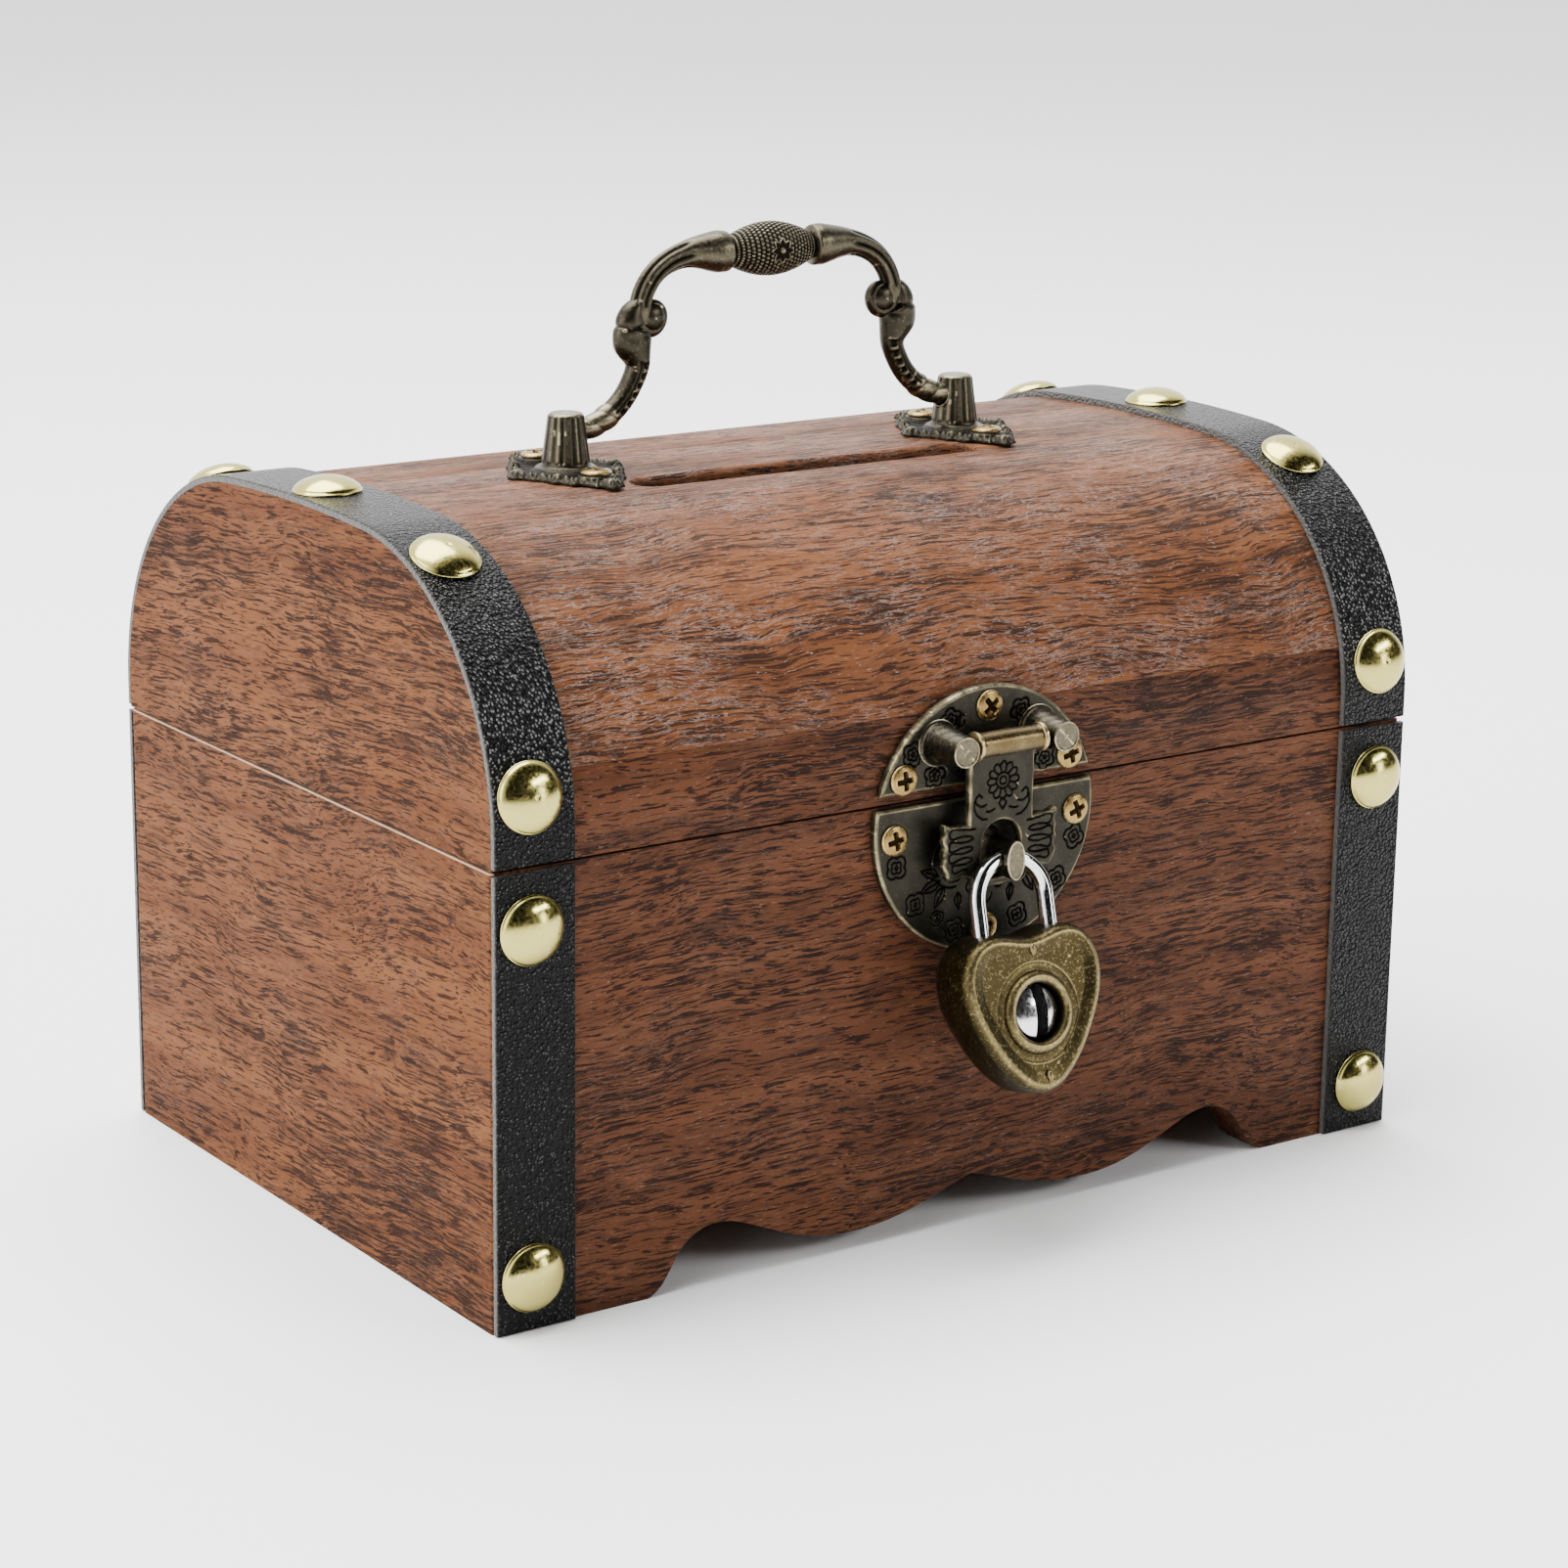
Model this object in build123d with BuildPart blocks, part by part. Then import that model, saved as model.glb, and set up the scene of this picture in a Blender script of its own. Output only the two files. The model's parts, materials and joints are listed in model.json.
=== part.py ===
from build123d import *
from math import asin, atan2, cos, radians, sin
import os

# Wooden treasure-chest money box: box, arched lid, leather straps with domed
# tacks, round hasp with a butterfly flap, heart padlock, and a cast bail handle.
# Millimetres, +Z up, front of the box toward -Y, origin at the middle of the base.

# ---- wooden box and lid ----
WIDTH = 150.0            # along X
DEPTH = 100.0            # along Y
SEAM_Z = 60.6            # middle of the joint between box and lid
SEAM_GAP = 0.3
WALL = 6.0               # front, back and end boards
FLOOR_Z = 9.0            # underside of the bottom board
FLOOR_T = 4.0
SHOULDER_Z = 64.4        # where the lid's straight sides begin to curve
SHOULDER_R = 33.5
APEX_Z = 98.4
SHELL_T = 4.0            # bent top board of the lid
RAIL_TOP = 72.0          # joint between the lid's rails and its top board
EDGE_R = 0.8             # softened wood edges
GLUE = 0.02              # film between faces that lie on each other

# ---- front apron ----
FOOT_X = 52.0
NOTCH = (42.0, 8.3)
LOBE = (20.0, 2.5)
CUSP_Z = 6.8

# ---- coin slot ----
SLOT_L = 56.4
SLOT_W = 5.0
SLOT_X = -1.3            # slot and handle sit a little left of the middle
SLOT_Y = -10.9
SLOT_LIP = 0.8           # rounding of the slot's upper edge

# ---- straps and tacks ----
STRAP_IN = 63.4
STRAP_OUT = 75.0
STRAP_T = 0.9
TACK_X = 69.8
TACK_R = 4.6
TACK_H = 2.1
TACK_SHANK_R = 0.7
TACK_SHANK_L = 4.5
TACK_LOW_Z = 7.2
TACK_HIGH_Z = 52.8
TACK_ANGLES = (8.7, 66.0)    # on the lid's shoulder arcs, degrees above level

# ---- screws ----
SCREW_HEAD_R = 2.1
SCREW_HEAD_H = 0.75
SCREW_SHANK_R = 1.1
SCREW_SHANK_L = 4.6
SCREW_HOLE_R = 1.16
SMALL_HEAD_R = 1.5
SMALL_HOLE_R = 0.76

# ---- hasp ----
HASP_Z = 57.0            # centre of the round plate pair
HASP_R = 18.0
HASP_T = 1.2
UPPER_EDGE_Z = 62.1
LOWER_EDGE_Z = 60.2
POST_X = 8.2
PIN_Y = -55.4
PIN_Z = 68.3
PIN_R = 0.8
POST_TIP_Y = -57.6
BARREL_R = 1.7
BARREL_HALF = 5.6
FLAP_BACK_Y = -53.4
FLAP_T = 1.2
FLAP_NECK_X = 5.3
FLAP_WING_X = 9.4
FLAP_BOTTOM_Z = 48.6
FLAP_SLOT_TOP_Z = 57.5
FLAP_SLOT_BOTTOM_Z = 49.8
FLAP_SLOT_W = 6.4
STAPLE_TIP_Y = -58.1
STAPLE_W = 2.9
STAPLE_H = 5.4
STAPLE_Z = 52.7

# ---- padlock, drawn square to itself and hung at LEAN ----
LEAN = 14.0              # degrees that its bottom stands away from the box
EYE_Y = -55.75
EYE_Z = 52.7
ROD_R = 1.15
EYE_R = 1.45
LEG_X = 5.6
LONG_LEG = -25.0         # lower ends of the two legs, below the eye
SHORT_LEG = -13.8
LOCK_TOP = -10.4         # notch of the heart, below the eye
LOCK_TIP = -31.6
LOCK_BACK = -4.3         # back face, measured outward from the shackle's plane
LOCK_DEPTH = 7.7
LOCK_CENTRE = -20.6      # height of the key plug
BEZEL_R = 5.3
BEZEL_PROUD = 0.9
HOUSING_R = 4.2
PLUG_R = 3.7
PLUG_DEPTH = 3.4

# ---- handle ----
HANDLE_X = -1.4
HANDLE_Y = -1.0
MOUNT_X = 32.7
MOUNT_T = 1.2
MOUNT_HALF_X = 9.2       # cast feet are lozenges, long from front to back
MOUNT_HALF_Y = 13.5
MOUNT_SCREW_Y = 7.7
PILLAR_TOP_Z = 106.7
PILLAR_BASE_R = 3.25
PILLAR_TOP_R = 2.4
BAIL_Z = 103.9
BAIL_R = 1.35
BAIL_HOLE_R = 1.42
GRIP_Z = 126.7
GRIP_R = 3.65
GRIP_HALF = 6.6
ARM_R = 1.45
LOWER_X = 21.2           # outer arms stand this far out above their bend
LOWER_BEND = 9.0
UPPER_X = 20.6
UPPER_BEND = 7.0
CUP_X = 8.6
CUP_R = 2.6
# the scrolls between lower and upper arm: x, z, radius, thickness
SCROLLS = ((22.7, 115.3, 2.3, 3.6), (21.9, 118.5, 1.8, 3.2), (18.5, 118.7, 2.0, 3.4))

# ---- back hinges ----
HINGE_X = 42.0
HINGE_W = 18.0
LEAF_T = 0.8
LEAF_H = 7.6
LEAF_GAP = 1.95
KNUCKLE_R = 1.6
HINGE_PIN_R = 0.8
HINGE_HOLE_R = 0.86

HALF_W = WIDTH / 2
HALF_D = DEPTH / 2
BOX_TOP = SEAM_Z - SEAM_GAP / 2
LID_LOW = SEAM_Z + SEAM_GAP / 2
INNER_W = HALF_W - WALL
INNER_D = HALF_D - WALL
SHOULDER_Y = HALF_D - SHOULDER_R
RISE = APEX_Z - SHOULDER_R
TOP_CENTRE_Z = (RISE**2 - SHOULDER_Y**2 - SHOULDER_Z**2) / (2 * (RISE - SHOULDER_Z))
MEET = atan2(SHOULDER_Z - TOP_CENTRE_Z, SHOULDER_Y)   # where the two arcs join
FACE_Y = -HALF_D - GLUE
PLATE_FACE_Y = FACE_Y - HASP_T
HINGE_AXIS_Y = HALF_D + GLUE + KNUCKLE_R + 0.25
MOUNT_Z = APEX_Z + 0.05
STRAP_FACE = STRAP_T + GLUE

os.makedirs("parts", exist_ok=True)


def save(builder, name):
    """Label a finished sub-part and write its STEP file."""
    builder.part.label = name
    export_step(builder.part, f"parts/{name}.step")


def arch_point(inset, angle):
    """Point of the lid's outline on a shoulder arc, angle in radians above level."""
    reach = SHOULDER_R - inset
    return (SHOULDER_Y + reach * cos(angle), SHOULDER_Z + reach * sin(angle))


def lid_outline(inset, low):
    """Closed outline of the lid's end, set in by inset all round, from height low."""
    side = HALF_D - inset
    meet = arch_point(inset, MEET)
    mid = arch_point(inset, MEET / 2)
    top = (0, APEX_Z - inset)
    with BuildLine() as outline:
        Line((-side, low), (side, low))
        Line((side, low), (side, SHOULDER_Z))
        ThreePointArc((side, SHOULDER_Z), mid, meet)
        ThreePointArc(meet, top, (-meet[0], meet[1]))
        ThreePointArc((-meet[0], meet[1]), (-mid[0], mid[1]), (-side, SHOULDER_Z))
        Line((-side, SHOULDER_Z), (-side, low))
    return outline.line


def lid_band(x_from, x_to, outer, inner, low):
    """Arched band between two insets of the lid's outline."""
    with BuildPart() as band:
        with BuildSketch(Plane.YZ.offset(x_from)):
            with BuildLine():
                add(lid_outline(outer, low))
            make_face()
            with BuildLine():
                add(lid_outline(inner, low - 20))
            make_face(mode=Mode.SUBTRACT)
        extrude(amount=x_to - x_from)
    return band.part


def headed_pin(radius, edge, height, shank_r, shank_l):
    """Round head with a spherical top, its underside on XY, and a shank down -Z."""
    ball = (radius**2 + (height - edge) ** 2) / (2 * (height - edge))
    half = asin(radius / ball) / 2
    crest = (ball * sin(half), height - ball + ball * cos(half))
    with BuildPart() as one:
        with BuildSketch(Plane.XZ):
            with BuildLine():
                Line((0, 0), (radius, 0))
                Line((radius, 0), (radius, edge))
                ThreePointArc((radius, edge), crest, (0, height))
                Line((0, height), (0, 0))
            make_face()
        revolve(axis=Axis.Z)
        with Locations((0, 0, -shank_l)):
            Cylinder(shank_r, shank_l, align=(Align.CENTER, Align.CENTER, Align.MIN))
    return one.part


def tack():
    """Domed strap tack."""
    return headed_pin(TACK_R, 0.3, TACK_H, TACK_SHANK_R, TACK_SHANK_L)


def screw(head_r=SCREW_HEAD_R, shank_r=SCREW_SHANK_R, length=SCREW_SHANK_L):
    """Low dome-headed screw."""
    return headed_pin(head_r, 0.15, SCREW_HEAD_H, shank_r, length)


def facing(x, y, z, outward):
    """Plane at a point whose normal is the outward direction."""
    return Plane(origin=(x, y, z), x_dir=(1, 0, 0), z_dir=outward)


def arch_plane(x, angle, side, lift):
    """Plane on the lid's shoulder arc at angle degrees; side is -1 front, +1 back."""
    a = radians(angle)
    y, z = arch_point(-lift, a)
    return facing(x, side * y, z, (0, side * cos(a), sin(a)))


BOX_TACKS_FRONT = [
    facing(sx * TACK_X, -HALF_D - STRAP_FACE, z, (0, -1, 0))
    for sx in (-1, 1)
    for z in (TACK_LOW_Z, TACK_HIGH_Z)
]
BOX_TACKS_BACK = [
    facing(sx * TACK_X, HALF_D + STRAP_FACE, z, (0, 1, 0))
    for sx in (-1, 1)
    for z in (TACK_LOW_Z, TACK_HIGH_Z)
]


def lid_tack_planes(sx):
    """The five tacks of one lid strap."""
    spots = [arch_plane(sx * TACK_X, a, s, STRAP_FACE) for s in (-1, 1) for a in TACK_ANGLES]
    spots.append(facing(sx * TACK_X, 0, APEX_Z + STRAP_FACE, (0, 0, 1)))
    return spots


UPPER_SCREWS = [
    facing(x, PLATE_FACE_Y, z, (0, -1, 0))
    for x, z in ((0, HASP_Z + 15.3), (-13.7, HASP_Z + 7.0), (13.7, HASP_Z + 7.0))
]
LOWER_SCREWS = [
    facing(x, PLATE_FACE_Y, z, (0, -1, 0))
    for x, z in ((0, HASP_Z - 15.0), (-15.0, HASP_Z - 0.9), (15.0, HASP_Z - 0.9))
]
LEAF_FACE_Y = HALF_D + GLUE + LEAF_T
HINGE_BOX_SCREWS = [
    facing(sx * HINGE_X + dx, LEAF_FACE_Y, SEAM_Z - 6.2, (0, 1, 0))
    for sx in (-1, 1)
    for dx in (-5.5, 5.5)
]
HINGE_LID_SCREWS = [
    facing(sx * HINGE_X + dx, LEAF_FACE_Y, SEAM_Z + 6.2, (0, 1, 0))
    for sx in (-1, 1)
    for dx in (-5.5, 5.5)
]
MOUNT_SCREWS = [
    facing(HANDLE_X + sx * MOUNT_X, HANDLE_Y + sy * MOUNT_SCREW_Y, MOUNT_Z + MOUNT_T, (0, 0, 1))
    for sx in (-1, 1)
    for sy in (-1, 1)
]


def drill(planes, radius, depth):
    """Round holes down from each plane, in the part being built."""
    with Locations(*planes):
        Cylinder(
            radius,
            2 * depth,
            align=(Align.CENTER, Align.CENTER, Align.CENTER),
            mode=Mode.SUBTRACT,
        )


def apron_edge(side):
    """Scalloped lower edge of a front or back board, from its foot to the middle cusp."""
    return [
        (side * FOOT_X, 0),
        (side * (FOOT_X - 2.2), 1.6),
        (side * (FOOT_X - 5.4), 6.2),
        (side * NOTCH[0], NOTCH[1]),
        (side * 36.0, 6.9),
        (side * 28.0, 3.7),
        (side * LOBE[0], LOBE[1]),
        (side * 10.0, 3.7),
        (side * 3.2, 5.8),
        (0, CUSP_Z),
    ]


def apron_board(y_from):
    """Front or back board with the scalloped apron, 6 mm thick toward -Y from y_from."""
    with BuildPart() as board:
        with BuildSketch(Plane.XZ.offset(-y_from)):
            with BuildLine():
                Line((-INNER_W, 0), (-INNER_W, BOX_TOP))
                Line((-INNER_W, BOX_TOP), (INNER_W, BOX_TOP))
                Line((INNER_W, BOX_TOP), (INNER_W, 0))
                Line((INNER_W, 0), (FOOT_X, 0))
                Spline(*apron_edge(1))
                Spline(*apron_edge(-1))
                Line((-FOOT_X, 0), (-INNER_W, 0))
            make_face()
        extrude(amount=WALL)
    return board.part


# ---- box boards ----
with BuildPart() as front_panel:
    add(apron_board(-INNER_D))
    drill(LOWER_SCREWS, SCREW_HOLE_R, HASP_T + SCREW_SHANK_L)
save(front_panel, "front_panel")

with BuildPart() as back_panel:
    add(apron_board(HALF_D))
    drill(HINGE_BOX_SCREWS, SMALL_HOLE_R, SCREW_SHANK_L)
save(back_panel, "back_panel")


def end_board(side):
    """End board with softened outer edges; it covers the ends of front and back."""
    with BuildPart() as board:
        with Locations((side * (HALF_W - WALL / 2), 0, BOX_TOP / 2)):
            Box(WALL, DEPTH, BOX_TOP)
        outer = board.edges().filter_by(Axis.Z).group_by(Axis.X)[-1 if side > 0 else 0]
        fillet(outer, EDGE_R)
        tacks = [p for p in BOX_TACKS_FRONT + BOX_TACKS_BACK if p.origin.X * side > 0]
        drill(tacks, TACK_SHANK_R + 0.05, STRAP_T + TACK_SHANK_L)
    return board


left_end_panel = end_board(-1)
save(left_end_panel, "left_end_panel")
right_end_panel = end_board(1)
save(right_end_panel, "right_end_panel")

with BuildPart() as bottom_panel:
    with Locations((0, 0, FLOOR_Z + FLOOR_T / 2)):
        Box(2 * INNER_W, 2 * INNER_D, FLOOR_T)
save(bottom_panel, "bottom_panel")


# ---- lid boards ----
def lid_end(side):
    """Arched end board of the lid."""
    start = HALF_W - WALL if side > 0 else -HALF_W
    with BuildPart() as board:
        with BuildSketch(Plane.YZ.offset(start)):
            with BuildLine():
                add(lid_outline(0, LID_LOW))
            make_face()
        extrude(amount=WALL)
        drill(lid_tack_planes(side), TACK_SHANK_R + 0.05, STRAP_T + TACK_SHANK_L)
    return board


lid_left_end = lid_end(-1)
save(lid_left_end, "lid_left_end")
lid_right_end = lid_end(1)
save(lid_right_end, "lid_right_end")


def lid_rail(side):
    """Straight rail at the foot of the lid's front or back."""
    with BuildPart() as rail:
        add(lid_band(-INNER_W, INNER_W, 0, WALL, LID_LOW))
        with Locations((0, 0, RAIL_TOP + 25)):
            Box(WIDTH + 10, DEPTH + 10, 50, mode=Mode.SUBTRACT)
        with Locations((0, -side * HALF_D, SEAM_Z)):
            Box(WIDTH + 10, DEPTH, 60, mode=Mode.SUBTRACT)
        if side < 0:
            drill(UPPER_SCREWS, SCREW_HOLE_R, HASP_T + SCREW_SHANK_L)
        else:
            drill(HINGE_LID_SCREWS, SMALL_HOLE_R, SCREW_SHANK_L)
    return rail


lid_front_rail = lid_rail(-1)
save(lid_front_rail, "lid_front_rail")
lid_back_rail = lid_rail(1)
save(lid_back_rail, "lid_back_rail")


def slot_lip(edges):
    """Upper edges of the coin slot."""
    near = edges.filter_by(lambda e: abs(e.center().X - SLOT_X) < SLOT_L / 2 + 0.1)
    near = near.filter_by(lambda e: abs(e.center().Y - SLOT_Y) < SLOT_W / 2 + 0.1)
    return near.filter_by(lambda e: e.center().Z > APEX_Z - SHELL_T / 2)


with BuildPart() as lid_top_shell:
    add(lid_band(-INNER_W, INNER_W, 0, SHELL_T, LID_LOW))
    with Locations((0, 0, RAIL_TOP + 0.05 - 25)):
        Box(WIDTH + 10, DEPTH + 10, 50, mode=Mode.SUBTRACT)
    with BuildSketch(Plane.XY.offset(APEX_Z - 12)):
        with Locations((SLOT_X, SLOT_Y)):
            SlotOverall(SLOT_L, SLOT_W)
    extrude(amount=20, mode=Mode.SUBTRACT)
    fillet(slot_lip(lid_top_shell.edges()), SLOT_LIP)
    drill(MOUNT_SCREWS, SCREW_HOLE_R, MOUNT_T + SCREW_SHANK_L)
    drill(UPPER_SCREWS, SCREW_HOLE_R, HASP_T + SCREW_SHANK_L)
save(lid_top_shell, "lid_top_shell")


# ---- leather straps ----
def lid_strap(side):
    """Leather band over the arch, flush with the end of the lid."""
    start = STRAP_IN if side > 0 else -STRAP_OUT
    with BuildPart() as strap:
        add(lid_band(start, start + STRAP_OUT - STRAP_IN, -STRAP_FACE, -GLUE, LID_LOW + 0.3))
        drill(lid_tack_planes(side), TACK_SHANK_R + 0.05, STRAP_T + 1)
    return strap


def box_strap(side, facing_side):
    """Leather strip on the front or back of the box."""
    y = facing_side * (HALF_D + GLUE + STRAP_T / 2)
    with BuildPart() as strap:
        with Locations((side * (STRAP_IN + STRAP_OUT) / 2, y, (BOX_TOP - 0.3 + 0.2) / 2)):
            Box(STRAP_OUT - STRAP_IN, STRAP_T, BOX_TOP - 0.5)
        fillet(strap.edges().filter_by(Axis.Y).group_by(Axis.Z)[0], 1.5)
        tacks = BOX_TACKS_FRONT if facing_side < 0 else BOX_TACKS_BACK
        drill([p for p in tacks if p.origin.X * side > 0], TACK_SHANK_R + 0.05, STRAP_T + 1)
    return strap


lid_strap_left = lid_strap(-1)
save(lid_strap_left, "lid_strap_left")
lid_strap_right = lid_strap(1)
save(lid_strap_right, "lid_strap_right")
for side, side_name in ((-1, "left"), (1, "right")):
    for face, face_name in ((-1, "front"), (1, "back")):
        save(box_strap(side, face), f"box_strap_{face_name}_{side_name}")

with BuildPart() as lid_tacks:
    with Locations(*lid_tack_planes(-1), *lid_tack_planes(1)):
        add(tack())
save(lid_tacks, "lid_tacks")

with BuildPart() as box_tacks:
    with Locations(*BOX_TACKS_FRONT, *BOX_TACKS_BACK):
        add(tack())
save(box_tacks, "box_tacks")


# ---- hasp ----
with BuildPart() as hasp_upper_plate:
    with BuildSketch(Plane.XZ.offset(-FACE_Y)):
        with Locations((0, HASP_Z)):
            Circle(HASP_R)
        with Locations((0, UPPER_EDGE_Z - 30)):
            Rectangle(60, 60, mode=Mode.SUBTRACT)
    extrude(amount=HASP_T)
    for x in (-POST_X, POST_X):
        with BuildSketch(Plane.XZ.offset(-PLATE_FACE_Y)):
            with Locations((x, PIN_Z)):
                Circle(2.8)
        with BuildSketch(Plane.XZ.offset(-POST_TIP_Y)):
            with Locations((x, PIN_Z)):
                Circle(1.75)
        loft()
    with Locations((0, PIN_Y, PIN_Z)):
        Cylinder(PIN_R + 0.05, 30, rotation=(0, 90, 0), mode=Mode.SUBTRACT)
    drill(UPPER_SCREWS, SCREW_HOLE_R, 3)
save(hasp_upper_plate, "hasp_upper_plate")

with BuildPart() as hasp_pin:
    with Locations((0, PIN_Y, PIN_Z)):
        Cylinder(PIN_R, 2 * POST_X + 2.4, rotation=(0, 90, 0))
save(hasp_pin, "hasp_pin")

with BuildPart() as hasp_flap:
    with BuildSketch(Plane.XZ.offset(-FLAP_BACK_Y)):
        with BuildLine():
            neck = (FLAP_NECK_X, 57.2)
            tip = (FLAP_WING_X, 57.7)
            heel = (FLAP_WING_X - 1.0, 50.2)
            crook = (4.5, 50.3)
            foot = (3.9, FLAP_BOTTOM_Z)
            Line((FLAP_NECK_X, PIN_Z), neck)
            Line(neck, tip)
            Spline(tip, (FLAP_WING_X - 0.2, 55.4), (FLAP_WING_X + 0.2, 53.2), heel)
            Line(heel, crook)
            Line(crook, foot)
            Line(foot, (0, FLAP_BOTTOM_Z))
            mirror(about=Plane.YZ)
            Line((-FLAP_NECK_X, PIN_Z), (FLAP_NECK_X, PIN_Z))
        make_face()
        with BuildLine():
            top = FLAP_SLOT_TOP_Z - FLAP_SLOT_W / 2
            Line((-FLAP_SLOT_W / 2, FLAP_SLOT_BOTTOM_Z), (FLAP_SLOT_W / 2, FLAP_SLOT_BOTTOM_Z))
            Line((FLAP_SLOT_W / 2, FLAP_SLOT_BOTTOM_Z), (FLAP_SLOT_W / 2, top))
            ThreePointArc((FLAP_SLOT_W / 2, top), (0, FLAP_SLOT_TOP_Z), (-FLAP_SLOT_W / 2, top))
            Line((-FLAP_SLOT_W / 2, top), (-FLAP_SLOT_W / 2, FLAP_SLOT_BOTTOM_Z))
        make_face(mode=Mode.SUBTRACT)
    extrude(amount=FLAP_T)
    with Locations((0, PIN_Y, PIN_Z)):
        Cylinder(BARREL_R, 2 * BARREL_HALF, rotation=(0, 90, 0))
        Cylinder(PIN_R + 0.06, 30, rotation=(0, 90, 0), mode=Mode.SUBTRACT)
save(hasp_flap, "hasp_flap")

with BuildPart() as hasp_lower_plate:
    with BuildSketch(Plane.XZ.offset(-FACE_Y)):
        with Locations((0, HASP_Z)):
            Circle(HASP_R)
        with Locations((0, LOWER_EDGE_Z + 30)):
            Rectangle(60, 60, mode=Mode.SUBTRACT)
    extrude(amount=HASP_T)
    drill(LOWER_SCREWS, SCREW_HOLE_R, 3)
save(hasp_lower_plate, "hasp_lower_plate")

# Oval staple post, riveted on the lower plate, with the eye for the shackle.
with BuildPart() as hasp_staple:
    with BuildSketch(Plane.XZ.offset(-PLATE_FACE_Y)):
        with Locations((0, STAPLE_Z)):
            Ellipse(STAPLE_W / 2, STAPLE_H / 2)
    extrude(amount=PLATE_FACE_Y - STAPLE_TIP_Y)
    with Locations((0, EYE_Y, EYE_Z)):
        Cylinder(EYE_R, 20, rotation=(0, 90, 0), mode=Mode.SUBTRACT)
save(hasp_staple, "hasp_staple")

with BuildPart() as hasp_upper_screws:
    with Locations(*UPPER_SCREWS):
        add(screw())
save(hasp_upper_screws, "hasp_upper_screws")
with BuildPart() as hasp_lower_screws:
    with Locations(*LOWER_SCREWS):
        add(screw())
save(hasp_lower_screws, "hasp_lower_screws")


# ---- padlock, on a plane that leans with it ----
LOCK = Plane(
    origin=(0, EYE_Y, EYE_Z),
    x_dir=(1, 0, 0),
    z_dir=(0, -cos(radians(LEAN)), sin(radians(LEAN))),
)


def heart(grow):
    """Heart outline about the middle line, grown outward by grow."""
    notch = LOCK_TOP + grow * 0.6
    lobe = 6.0
    wide = 11.5 + grow
    with BuildLine() as outline:
        right = Spline(
            (0, notch),
            (lobe, LOCK_TOP + 0.9 + grow),
            (wide, LOCK_TOP - 5.2),
            (9.2 + grow * 0.8, LOCK_TOP - 13.0),
            (4.5 + grow * 0.5, LOCK_TIP + 2.0 - grow * 0.8),
            (0, LOCK_TIP - grow),
            tangents=[(1, 0.45), (-1, -0.1)],
        )
        mirror(right, about=Plane.YZ)
    return outline.line


with BuildPart() as padlock_shackle:
    with BuildLine(LOCK) as bow:
        Line((-LEG_X, LONG_LEG), (-LEG_X, -LEG_X))
        ThreePointArc((-LEG_X, -LEG_X), (0, 0), (LEG_X, -LEG_X))
        Line((LEG_X, -LEG_X), (LEG_X, SHORT_LEG))
    with BuildSketch(Plane(origin=bow.line @ 0, z_dir=bow.line % 0)):
        Circle(ROD_R)
    sweep()
save(padlock_shackle, "padlock_shackle")

with BuildPart() as padlock_body:
    with BuildSketch(LOCK.offset(LOCK_BACK)):
        with BuildLine():
            add(heart(-0.3))
        make_face()
    extrude(amount=LOCK_DEPTH)
    # shallow pan inside the raised rim of the face
    with BuildSketch(LOCK.offset(LOCK_BACK + LOCK_DEPTH - 0.5)):
        with BuildLine():
            add(heart(-1.8))
        make_face()
    extrude(amount=2, mode=Mode.SUBTRACT)
    # bores for the two legs of the shackle, the long one past its travel
    for x, deep in ((-LEG_X, LONG_LEG - 0.6), (LEG_X, SHORT_LEG - 0.6)):
        with BuildSketch(Plane(origin=LOCK.from_local_coords((x, 0, 0)), z_dir=-LOCK.y_dir)):
            Circle(ROD_R + 0.08)
        extrude(amount=-deep, mode=Mode.SUBTRACT)
    # bore for the key plug and its housing
    with BuildSketch(LOCK.offset(LOCK_BACK + LOCK_DEPTH - 4.4)):
        with Locations((0, LOCK_CENTRE)):
            Circle(HOUSING_R + 0.02)
    extrude(amount=10, mode=Mode.SUBTRACT)
save(padlock_body, "padlock_body")

FACE = LOCK_BACK + LOCK_DEPTH - 0.5
with BuildPart() as padlock_bezel:
    with BuildSketch(LOCK.offset(FACE - 3.8)):
        with Locations((0, LOCK_CENTRE)):
            Circle(HOUSING_R)
            Circle(PLUG_R + 0.06, mode=Mode.SUBTRACT)
    extrude(amount=3.8)
    with BuildSketch(LOCK.offset(FACE)):
        with Locations((0, LOCK_CENTRE)):
            Circle(BEZEL_R)
            Circle(PLUG_R + 0.06, mode=Mode.SUBTRACT)
    extrude(amount=BEZEL_PROUD)
save(padlock_bezel, "padlock_bezel")

with BuildPart() as lock_plug:
    with BuildSketch(LOCK.offset(FACE - PLUG_DEPTH)):
        with Locations((0, LOCK_CENTRE)):
            Circle(PLUG_R)
    extrude(amount=PLUG_DEPTH + 0.3)
    with BuildSketch(LOCK.offset(FACE + 0.3 - 1.6)):
        with Locations((0, LOCK_CENTRE)):
            Rectangle(1.3, 2 * PLUG_R + 1)
    extrude(amount=4, mode=Mode.SUBTRACT)
save(lock_plug, "lock_plug")


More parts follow.
